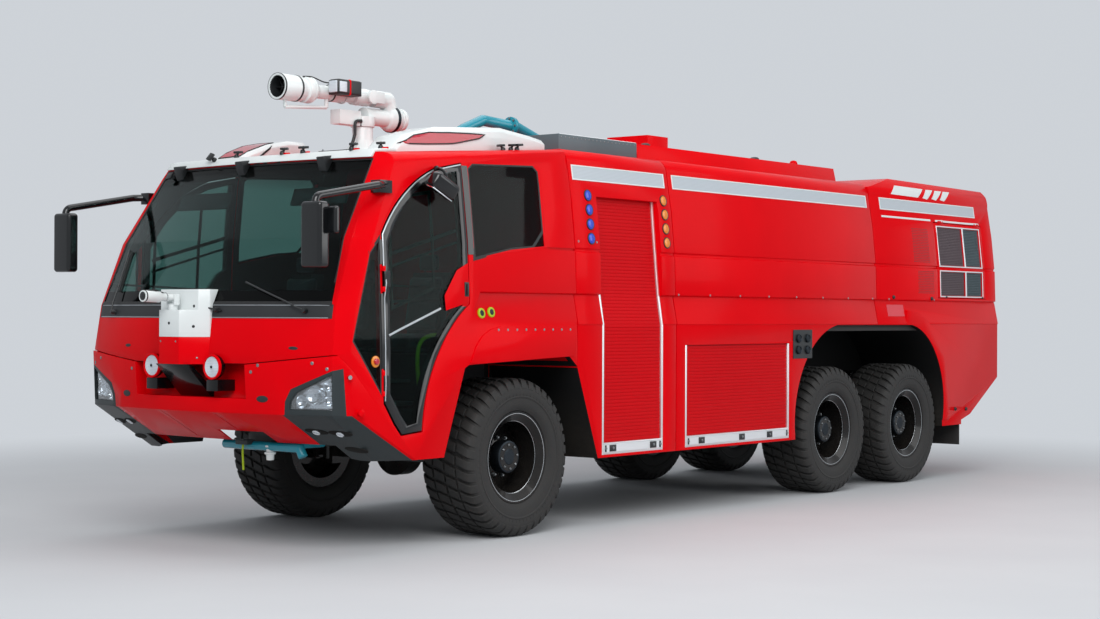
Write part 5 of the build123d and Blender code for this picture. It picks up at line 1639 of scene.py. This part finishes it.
def makeTailLamps(shape):
    x0, x1 = shape["x"]
    y0, y1 = shape["y"]
    for z0, z1, look in shape["stack"]:
        lens = roundedBox((x0 + 0.006, y0 + 0.004, z0 + 0.004), (x1 - 0.006, y1, z1 - 0.004), 0.012)
        addBoth("tailLens_" + look[:-4], lens, "frostLens" if look == "clearLens" else look)
    z0, z1 = shape["backZ"]
    back = roundedBox((x0 - 0.008, y0 - 0.01, z0), (x1 + 0.008, y1 - 0.016, z1), 0.008)
    low, high = shape["high"]
    addBoth("tailBacks", back, "absBlack")
    addBoth("highTailLenses", roundedBox(low, (high[0], high[1] + 0.008, high[2]), 0.014), "redLens")


makeTailLamps(tailShape)
print("lamps made")

# Roof turret: a black lining and end disc in the bore as painted shade, with black vanes, bands, bolted flanges, a work
# lamp, cables and the plate under the column
roofTurretShape = {
    "z": 3.825, "mouth": -1.48, "vanes": 3, "flange": -1.116, "flangeRadius": 0.100,
    "neckBands": [(-1.288, -1.268, 0.1128), (-1.482, -1.468, 0.1135), (-0.868, -0.852, 0.0755)],
    "collar": (-0.722, -0.706, 0.082), "lampStripe": (-0.815, -0.785),
    "plate": ((-0.20, -0.80, 3.322), (0.20, -0.235, 3.333)),
    "plateNutX": (-0.17, 0.17), "plateNutY": (-0.77, -0.52, -0.27),
    "cable": [(0.03, -0.66, 0.075), (0.045, -0.80, 0.088), (0.03, -0.95, 0.078), (0.04, -1.05, 0.10),
              (0.03, -1.12, 0.118), (0.02, -1.20, 0.108)],
    "lampLow": (0.066, -0.945, 3.798), "lampHigh": (0.196, -0.655, 3.932), "ballY": -0.085, "ballZ": 3.66,
    "column": -0.45,
}


def makeRoofTurret(shape):
    up, back = Vector((0, 0, 1)), Vector((0, 1, 0))
    z = shape["z"]
    mouth = at(0, shape["mouth"], z)
    # the black lining, closed by a disc at its back, is painted shade: it stands for the dark inside of the bore
    liner = lathe([(0.0015, 0.0936), (0.020, 0.0850), (0.198, 0.0772), (0.198, 0.0), (0.1995, 0.0), (0.1995, 0.0785),
                   (0.020, 0.0862), (0.0015, 0.0946)], mouth, back, 40, True)
    vanes = []
    for k in range(shape["vanes"]):
        vane = meshOf(boxBetween((-0.0775, -0.001, -0.0015), (0.0775, 0.12, 0.0015)))
        vane.transform(Matrix.Translation((0, -axleY, 0)))
        vane.transform(Matrix.Rotation(math.pi * k / shape["vanes"], 4, "Y"))
        vane.transform(Matrix.Translation(at(0, shape["mouth"] + 0.06, z)))
        vanes.append(vane)
    addPiece("roofBarrelBore", joined("bore", [liner] + vanes), ["absBlack"], "roof_barrel")
    bands = [sleeve(r + 0.001, 0.003, y0, y1, at(0, 0, z), back) for y0, y1, r in shape["neckBands"]]
    addPiece("roofBarrelBands", joined("bands", bands), ["absBlack"], "roof_barrel")
    flange = sleeve(0.115, 0.012, shape["flange"] - 0.008, shape["flange"] + 0.006, at(0, 0, z), back)
    collarFront, collarBack, collarRadius = shape["collar"]
    collar = sleeve(collarRadius, 0.024, collarFront, collarBack, at(0, 0, z), back)
    addPiece("roofBarrelCollars", joined("collars", [flange, collar]), ["whiteEnamel"], "roof_barrel")
    nut = hexNut(0.016, 0.009, 0.005)
    nuts = ringOf(nut, "zincScrew", 10, shape["flangeRadius"], at(0, shape["flange"] + 0.006, z), back)
    more = ringOf(hexNut(0.014, 0.008, 0.004), "zincScrew", 8, 0.072, at(0, collarBack, z), back)
    addPiece("roofBarrelNuts", joined("nuts", [nuts, more]), ["zincScrew"], "roof_barrel")
    low, high = shape["lampLow"], shape["lampHigh"]
    addPiece("roofLampCase", roundedBox(low, high, 0.022), ["absBlack"], "roof_barrel")
    lens = roundedBox((low[0] + 0.016, low[1] - 0.010, low[2] + 0.016),
                      (high[0] - 0.016, low[1] + 0.004, high[2] - 0.016), 0.012)
    side = roundedBox((high[0] - 0.004, low[1] + 0.012, low[2] + 0.022),
                      (high[0] + 0.005, low[1] + 0.10, high[2] - 0.022), 0.008)
    addPiece("roofLampLens", joined("lens", [lens, side]), ["frostLens"], "roof_barrel")
    front, rear = shape["lampStripe"]
    stripe = roundedBox((low[0] - 0.002, front, low[2] - 0.002), (high[0] + 0.003, rear, high[2] + 0.003), 0.020)
    addPiece("roofLampBand", stripe, ["redEnamel"], "roof_barrel")
    cable = [at(x, y, z + above) for x, y, above in shape["cable"]]
    addPiece("roofBarrelCable", tube(cable, 0.006, 8), ["hoseRubber"], "roof_barrel")
    ball = at(0, shape["ballY"], shape["ballZ"])
    nuts = [ringOf(hexNut(0.018, 0.010, 0.006), "zincScrew", 10, 0.088, ball + back * 0.124, back),
            ringOf(hexNut(0.016, 0.009, 0.005), "zincScrew", 8, 0.086, at(0, shape["column"], 3.565), up, 0.2)]
    addPiece("roofSwivelNuts", joined("nuts", nuts), ["zincScrew"], "roof_turret")
    addPiece("roofSwivelBand", sleeve(0.121, 0.006, -0.02, 0.012, ball, back), ["gunMetal"], "roof_turret")
    plate = roundedBox(*shape["plate"], 0.004)
    spots = [(at(x, y, shape["plate"][1][2]), up) for x in shape["plateNutX"] for y in shape["plateNutY"]]
    bolts = scattered(spots, hexNut(0.024, 0.012, 0.007), "zincScrew", 1.0, 2)
    addPiece("roofTurretPlate", plate, ["trimDark"])
    addPiece("roofTurretPlateNuts", bolts, ["zincScrew"])


makeRoofTurret(roofTurretShape)

# Bumper turret: a black disc and lining in the mouth as painted shade of the bore, cables, screws in the housing
bumperTurretShape = {
    "z": 2.03, "mouth": -2.9, "radius": 0.046,
    "cable": [(1, -2.70, 0.032), (1.4, -2.76, 0.050), (1.2, -2.80, 0.058), (1, -2.86, 0.052)],
    "housingScrews": [(0.177, 1.961), (0.0, 1.825), (0.20, 1.80)],
    "bracketScrews": [(-0.10, 1.68), (0.08, 1.68), (0.22, 1.55)],
}


def makeBumperTurret(shape):
    ahead = Vector((0, -1, 0))
    mouth = at(0, shape["mouth"], shape["z"] + 0.008)
    r = shape["radius"]
    # a black disc just inside the mouth, with a black lining: painted shade standing for the dark inside of the bore
    bore = lathe([(-0.004, 0.0), (-0.004, r * 0.72), (0.0015, r * 0.74), (0.0025, r * 0.70), (0.001, 0.0)], mouth,
                 ahead, 28, True)
    lip = sleeve(r + 0.001, 0.006, -0.018, -0.006, mouth, ahead, 28)
    addPiece("bumperBarrelBore", joined("bore", [bore, lip]), ["absBlack"], "bumper_barrel")
    z = shape["z"]
    cables = [tube([at(x * part, y, z + above) for part, y, above in shape["cable"]], 0.005, 8)
              for x in (0.012, -0.012)]
    clip = roundedBox((-0.022, -2.80, z + 0.030), (0.022, -2.77, z + 0.050), 0.005)
    addPiece("bumperBarrelCables", joined("cables", cables + [clip]), ["hoseRubber"], "bumper_barrel")
    rings = [sleeve(0.036, 0.003, y, y + 0.008, at(0, 0, z + 0.003), Vector((0, 1, 0)), 28) for y in (-2.745, -2.68)]
    addPiece("bumperBarrelRings", joined("rings", rings), ["polishedSteel"], "bumper_barrel")
    places = [onFrontOf("turret_housing", x, h) for x, h in shape["housingScrews"]]
    setPieces("housingScrews", places, roundHead(0.012, 0.004), "absBlack")
    places = [onFrontOf("turret_bracket", x, h) for x, h in shape["bracketScrews"]]
    setPieces("bracketScrews", places, roundHead(0.008, 0.003), "zincScrew")


def onFrontOf(node, x, z):
    return onFront(x, z, skinTree([node]))


makeBumperTurret(bumperTurretShape)
print("turrets dressed")

# Roof: lenses in the fairings, clamps along the edge, rivets round the well, bolts on the pipe's flange
roofShape = {
    "longLens": [(-1.16, 3.305), (-0.98, 3.385), (-0.80, 3.422), (-0.55, 3.440), (-0.30, 3.452), (-0.10, 3.458),
                 (-0.17, 3.420), (-0.42, 3.368), (-0.52, 3.350), (-0.82, 3.325)],
    "shortLens": [(-1.24, 3.290), (-1.05, 3.375), (-0.90, 3.415), (-0.86, 3.405), (-0.98, 3.320), (-1.02, 3.300)],
    "shortTop": [(-0.765, -1.20), (-0.76, -0.92), (-0.80, -0.78), (-1.01, -0.78), (-1.045, -0.92), (-1.02, -1.22)],
    "clamps": [(-1.10, -1.66), (-0.55, -1.68), (-0.30, -1.66), (0.28, -1.68), (0.50, -1.66), (1.02, -1.62),
               (1.18, -1.45)],
    "caps": [(0.88, 2.62), (0.88, 4.62)], "redCap": (0.86, 5.45),
    "collar": (0.5, 0.985, 1.025, 3.66, 0.068, 8),  # x, front y, back y, z, radius, count
    "railClamps": [(1.20, 0.06), (1.22, 0.14), (1.24, 0.20)],
    "rivetRun": (1.13, 1.14, 20), "rivetHeights": (3.545, 3.42),  # first y, length, count
    "wellLip": (0.99, 1.10, 0.2, 7),  # x, first y, step, count
}


def makeRoofTrim(shape):
    pods = skinTree(["fairings"])
    lenses, rims = [], []

    def fromSide(y, z):
        return hit(at(2.4, y, z), Vector((-1, 0, 0)), pods)

    def fromMiddle(y, z):
        return hit(at(-0.2, y, z), Vector((-1, 0, 0)), pods)

    def fromAbove(x, y):
        return hit(at(x, y, 4.2), Vector((0, 0, -1)), pods)

    def fromFarSide(y, z):
        found = hit(at(-2.4, y, z), Vector((1, 0, 0)), pods)
        return found if found and found[0].x < -0.5 else None

    views = (("longLens", fromSide), ("shortLens", fromMiddle), ("shortTop", fromAbove), ("shortLens", fromFarSide))
    for key, find in views:
        outline = [p for p in shape[key] if find(*p)]
        lenses.append(meshOf(patch(outline, find, 0.006, 0.010, 2)))
        if find is fromFarSide:
            continue
        places = []
        for (a0, b0), (a1, b1) in zip(outline, outline[1:] + outline[:1]):
            places += [find(a0 + (a1 - a0) * k / 3, b0 + (b1 - b0) * k / 3) for k in range(3)]
        rims.append(meshOf(ribbon([p for p in places if p], 0.012, 0.008, True)))
    addPiece("fairingLenses", joined("lenses", lenses), ["redLens"])
    addPiece("fairingLensRims", joined("rims", rims), ["gasketRubber"])
    clamp = joined("clamp", [roundHead(0.022, 0.03, 12)] + clampParts())
    places = [onTop(x, y) for x, y in shape["clamps"] + shape["railClamps"]]
    setPieces("roofClamps", places, clamp, "absBlack")
    foot = roundedBoxLocal(0.055, 0.03, 0.012)
    places = [onTop(x + 0.03, y + 0.02) for x, y in shape["clamps"][3:]]
    setPieces("roofClampFeet", places, foot, "redEnamel")
    caps = [onTop(x, y) for x, y in shape["caps"]]
    setPieces("roofCaps", caps, roundHead(0.05, 0.03, 24), "absBlack")
    redCap = [onTop(*shape["redCap"])]
    setPieces("roofRedCap", redCap, roundHead(0.045, 0.05, 24), "redEnamel")
    x, front, back, z, ring, count = shape["collar"]
    bolts = []
    for k in range(count):
        turn = 2 * math.pi * k / count
        for y, way in ((front, -1), (back, 1)):
            bolts.append((at(x + ring * math.cos(turn), y, z + ring * math.sin(turn)), Vector((0, way, 0))))
    setPieces("pipeBolts", bolts, hexNut(0.022, 0.010, 0.006), "zincScrew")
    rivets = []
    well = skinTree(["roof_well"])
    start, span, count = shape["rivetRun"]
    for k in range(count):
        for z in shape["rivetHeights"]:
            rivets.append(hit(at(2.4, start + span * k / (count - 1), z), Vector((-1, 0, 0)), well))
    setPieces("wellRivets", rivets, rivetMesh(), "zincScrew")
    x, start, step, count = shape["wellLip"]
    lip = [onTop(x, start + step * k, well) for k in range(count)]
    addBoth("wellEdge", meshOf(ribbon([p for p in lip if p], 0.016, 0.004)), "brightTrim")


def clampParts():
    post = meshOf(turned([(0, 0.010), (0.05, 0.010), (0.052, 0.0)], Vector((0.0, 0, 0.01)), Vector((0.03, 0.0, 0.06)),
                         10))
    head = withBevel(meshFromBox((-0.012, -0.035, 0.035), (0.05, 0.035, 0.055)), 0.004)
    return [post, head]


def roundedBoxLocal(x, y, z):
    return withBevel(meshFromBox((-x / 2, -y / 2, -0.004), (x / 2, y / 2, z)), 0.003)


makeRoofTrim(roofShape)

# Under the bumper: valves on the teal line
valveShape = {"lever": [(0.160, -1.985, 0.85), (0.164, -2.0, 0.80), (0.176, -2.0, 0.66), (0.178, -2.0, 0.628)],
              "valve": (0.419, -1.93, 0.80),
              "bracket": ((0.10, -2.02, 0.835), (0.24, -1.93, 0.875)),
              "body": [(0, 0.030), (0.012, 0.042), (0.022, 0.042), (0.026, 0.032), (0.060, 0.032), (0.064, 0.046),
                       (0.080, 0.046), (0.084, 0.034), (0.128, 0.030), (0.134, 0.0)]}


def makeValves(shape):
    lever = tube([at(*p) for p in shape["lever"]], 0.009, 10)
    addPiece("valveLever", lever, ["yellowEnamel"])
    x, y, z = shape["valve"]
    start = at(x, y, z + 0.045)
    down = Vector((0, 0, -1))
    body = lathe(shape["body"], start, down, 28)
    addPiece("drainValve", body, ["whiteEnamel"])
    bracket = roundedBox(*shape["bracket"], 0.006)
    addPiece("valveBracket", bracket, ["greyEnamel"])


makeValves(valveShape)

# Mirrors: glass on their backs, and the kerb mirror over the near door
mirrorShape = {
    "main": ((1.420, -2.447, 2.275), (1.590, -2.441, 2.725)), "small": ((1.556, -2.418, 2.52), (1.674, -2.411, 2.70)),
    "kerb": (1.545, -1.08, 2.945), "kerbTilt": -24, "kerbTurn": 18,  # degrees
}


def makeMirrorGlass(shape):
    glass = joined("glass", [roundedBox(*shape["main"], 0.002, 1), roundedBox(*shape["small"], 0.002, 1)])
    addBoth("mirrorGlass", glass, "chromeReflector")
    x, y, z = shape["kerb"]
    head = roundedBox((x - 0.055, y - 0.16, z - 0.075), (x + 0.055, y + 0.13, z + 0.06), 0.035, 4)
    tilt, turn = math.radians(shape["kerbTilt"]), math.radians(shape["kerbTurn"])
    aim = Matrix.Rotation(tilt, 4, "X") @ Matrix.Rotation(turn, 4, "Y")
    turn = Matrix.Translation(at(x, y, z)) @ aim @ Matrix.Translation(-at(x, y, z))
    head.transform(turn)
    plate = roundedBox((x - 0.045, y - 0.14, z - 0.083), (x + 0.045, y + 0.11, z - 0.072), 0.004)
    plate.transform(turn)
    top = onSide(-1.05, 3.085, 1, doorSkin) or (at(1.42, -1.05, 3.085), Vector((1, 0, 0)))
    arm = tube([top[0] - top[1] * 0.004, top[0] + Vector((0.05, 0, 0.01)), at(x + 0.01, y + 0.02, z + 0.09),
                at(x, y, z + 0.03)], 0.014, 10)
    foot = lathe([(-0.004, 0.030), (0.012, 0.030), (0.018, 0.022), (0.018, 0)], top[0], top[1], 20)
    addPiece("kerbMirror", joined("kerb", [head, arm, foot]), ["absGloss"], "door_left")
    addPiece("kerbMirrorGlass", plate, ["chromeReflector"], "door_left")


makeMirrorGlass(mirrorShape)

# Knobs and the rear: latches on the flaps, bolts low on the corners, handle of the hatch
knobShape = {"bodyKnobs": [(6.60, 2.122), (7.53, 2.114)], "flapKnobs": [(7.906, 2.137), (8.86, 2.137)],
             "low": [(8.12, 0.805), (8.40, 0.795)],
             "handleHeight": 1.42, "latches": [(-0.40, 1.33), (0.40, 1.33)]}


def makeKnobs(shape):
    flap = skinTree(["engine_flap_left"])
    spots = [onSide(y, z, 1, flap) for y, z in shape["flapKnobs"]]
    left = scattered(spots, roundHead(0.012, 0.018, 16), "absBlack", 1.0, 1)
    addPiece("flapKnobs_right", mirrored(left), ["absBlack"], "engine_flap_right")
    addPiece("flapKnobs_left", left, ["absBlack"], "engine_flap_left")
    spots = [onSide(*p) for p in shape["bodyKnobs"] + shape["low"]]
    rest = scattered(spots, roundHead(0.022, 0.022, 16), "absBlack", 1.0, 1)
    addBoth("bodyKnobs", rest, "absBlack")
    y = onBack(0, 1.45)[0].y - axleY
    half = [(0.12, 0), (0.12, 0.035), (0.10, 0.05)]
    route = [(-x, out) for x, out in half] + half[::-1]
    grip = tube([at(x, y + out, shape["handleHeight"]) for x, out in route], 0.010, 10)
    addPiece("hatchHandle", grip, ["absBlack"], "rear_hatch")
    places = [onBack(*p) for p in shape["latches"]]
    mesh = scattered(places, roundHead(0.026, 0.014, 20), "zincScrew", 1.0, 1)
    addPiece("hatchLatches", mesh, ["zincScrew"], "rear_hatch")


makeKnobs(knobShape)
print("roof, mirrors and rear made")

# Seats: padded cushions with a crown, on moulded pans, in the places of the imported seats
seatShape = {
    "places": [(0.76, -0.70), (-0.76, -0.70), (0.0, -0.76), (0.76, 0.15), (-0.76, 0.15)], "low": 1.5753,
    "cushion": ((-0.205, -0.215, 0.045), (0.205, 0.150, 0.140)),
    "back": ((-0.195, 0.150, 0.175), (0.195, 0.215, 0.665)),
    "head": ((-0.105, 0.268, 0.705), (0.105, 0.325, 0.845)), "pan": ((-0.225, -0.235, 0.0), (0.225, 0.235, 0.042)),
    "shell": ((-0.215, 0.226, 0.045), (0.215, 0.240, 0.69)), "backLean": 0.17, "shellLean": 0.155,
    "voxel": 0.013, "pressure": 4.0, "frames": 20, "cap": 0.022, "fill": 0.55,
}


def padMesh(low, high, lean=0.0):
    mesh = withBevel(meshFromBox(low, high), 0.03, 30, 3)
    if lean:
        for vert in mesh.vertices:
            vert.co.y += (vert.co.z - low[2]) * lean
    return mesh


def inflated(mesh, shape):
    obj = bpy.data.objects.new("pad", mesh)
    scene.collection.objects.link(obj)
    remesh = obj.modifiers.new("even", "REMESH")
    remesh.mode = "VOXEL"
    remesh.voxel_size = shape["voxel"]
    start = baked(obj)
    rest = [v.co.copy() for v in start.vertices]
    obj = bpy.data.objects.new("pad", start)
    scene.collection.objects.link(obj)
    cloth = obj.modifiers.new("cloth", "CLOTH")
    cloth.settings.use_pressure = True
    cloth.settings.uniform_pressure_force = shape["pressure"]
    cloth.settings.effector_weights.gravity = 0
    cloth.settings.quality = 5
    cloth.point_cache.frame_end = shape["frames"]
    for frameNumber in range(1, shape["frames"] + 1):
        scene.frame_set(frameNumber)
    graph = bpy.context.evaluated_depsgraph_get()
    swollen = bpy.data.meshes.new_from_object(obj.evaluated_get(graph))
    bpy.data.objects.remove(obj)
    scene.frame_set(1)
    cap = shape["cap"]
    for vert, was in zip(swollen.vertices, rest):
        step = vert.co - was
        if step.length > cap:
            vert.co = was + step.normalized() * cap
    return swollen


def makeSeats(shape):
    cushion = inflated(padMesh(*shape["cushion"]), shape)
    back = inflated(padMesh(*shape["back"], shape["backLean"]), shape)
    head = inflated(padMesh(*shape["head"]), shape)
    pan = withBevel(meshFromBox(*shape["pan"]), 0.012)
    shell = meshFromBox(*shape["shell"])
    for vert in shell.vertices:
        vert.co.y += (vert.co.z - 0.05) * shape["shellLean"]
    shell = withBevel(shell, 0.006)
    posts = [tube([Vector((x, 0.305, 0.66)), Vector((x, 0.300, 0.78))], 0.008, 8, False) for x in (-0.05, 0.05)]
    sides = []
    for x in (-0.212, 0.212):
        sides.append(withBevel(meshFromBox((x - 0.012, -0.10, 0.045), (x + 0.012, 0.22, 0.10)), 0.006))
    frameMesh = joined("frame", [pan, shell] + posts + sides)
    frames = []
    for k, (x, y) in enumerate(shape["places"]):
        move = Matrix.Translation(at(x, y, shape["low"]))
        for label, source in (("seatCushion", cushion), ("seatBack", back), ("seatHead", head)):
            mesh = source.copy()
            mesh.transform(move)
            stands = ("seats",) if label == "seatCushion" and k == 0 else ()
            piece = addPiece(label + "_" + str(k + 1), mesh, ["seatCloth"], "chassis", stands, 60)
        mesh = frameMesh.copy()
        mesh.transform(move)
        frames.append(mesh)
    addPiece("seatFrames", joined("frames", frames), ["liftedPadding"])


makeSeats(seatShape)
print("seats made")

# Inside the cab: steps under the door, visors, screens on the dashboard
cabinShape = {
    "steps": [((0.98, -1.50, 1.165), (1.295, -1.00, 1.19)), ((0.92, -1.46, 1.345), (1.18, -1.02, 1.37))],
    "visors": [(-1.02, -0.38), (0.38, 1.02)], "visorY": -1.63, "visorZ": 2.93, "visorLean": -20,
    "screens": [(0.20, 0.50), (0.86, 1.05), (-0.75, -0.40)], "screenY": (-1.83, -1.80), "screenZ": (1.88, 2.06),
}


def makeCabin(shape):
    treads, risers = [], []
    for low, high in shape["steps"]:
        treads.append(roundedBox(low, high, 0.006))
        columns = int((high[0] - low[0]) / 0.04)
        ribs = [(at(low[0] + 0.03 + 0.04 * i, low[1] + 0.04 + 0.07 * j, high[2]), Vector((0, 0, 1)))
                for i in range(columns) for j in range(7)]
        ribs = [r for r in ribs if r[0].y - axleY < high[1] - 0.02]
        treads.append(scattered(ribs, roundHead(0.008, 0.004, 8), "anodisedAluminium", 0.0, 1))
        risers.append(roundedBox((low[0], low[1] + 0.01, low[2] - 0.14),
                                 (low[0] + 0.02, high[1] - 0.01, low[2] + 0.002), 0.004))
    addBoth("entrySteps", joined("treads", treads), "anodisedAluminium")
    addBoth("entryRisers", joined("risers", risers), "trimDark")
    visors, screens = [], []
    for x0, x1 in shape["visors"]:
        panel = roundedBox((x0, shape["visorY"] - 0.012, shape["visorZ"] - 0.15),
                           (x1, shape["visorY"] + 0.012, shape["visorZ"]), 0.010)
        hinge = at(0, shape["visorY"], shape["visorZ"])
        lean = Matrix.Rotation(math.radians(shape["visorLean"]), 4, "X")
        panel.transform(Matrix.Translation(hinge) @ lean @ Matrix.Translation(-hinge))
        visors.append(panel)
    addPiece("sunVisors", joined("visors", visors), ["liftedPadding"])
    (y0, y1), (z0, z1) = shape["screenY"], shape["screenZ"]
    for x0, x1 in shape["screens"]:
        screens.append(roundedBox((x0, y0, z0), (x1, y1, z1), 0.010))
    addPiece("dashScreens", joined("screens", screens), ["absGloss"])


makeCabin(cabinShape)
print("cabin made")

low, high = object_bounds()
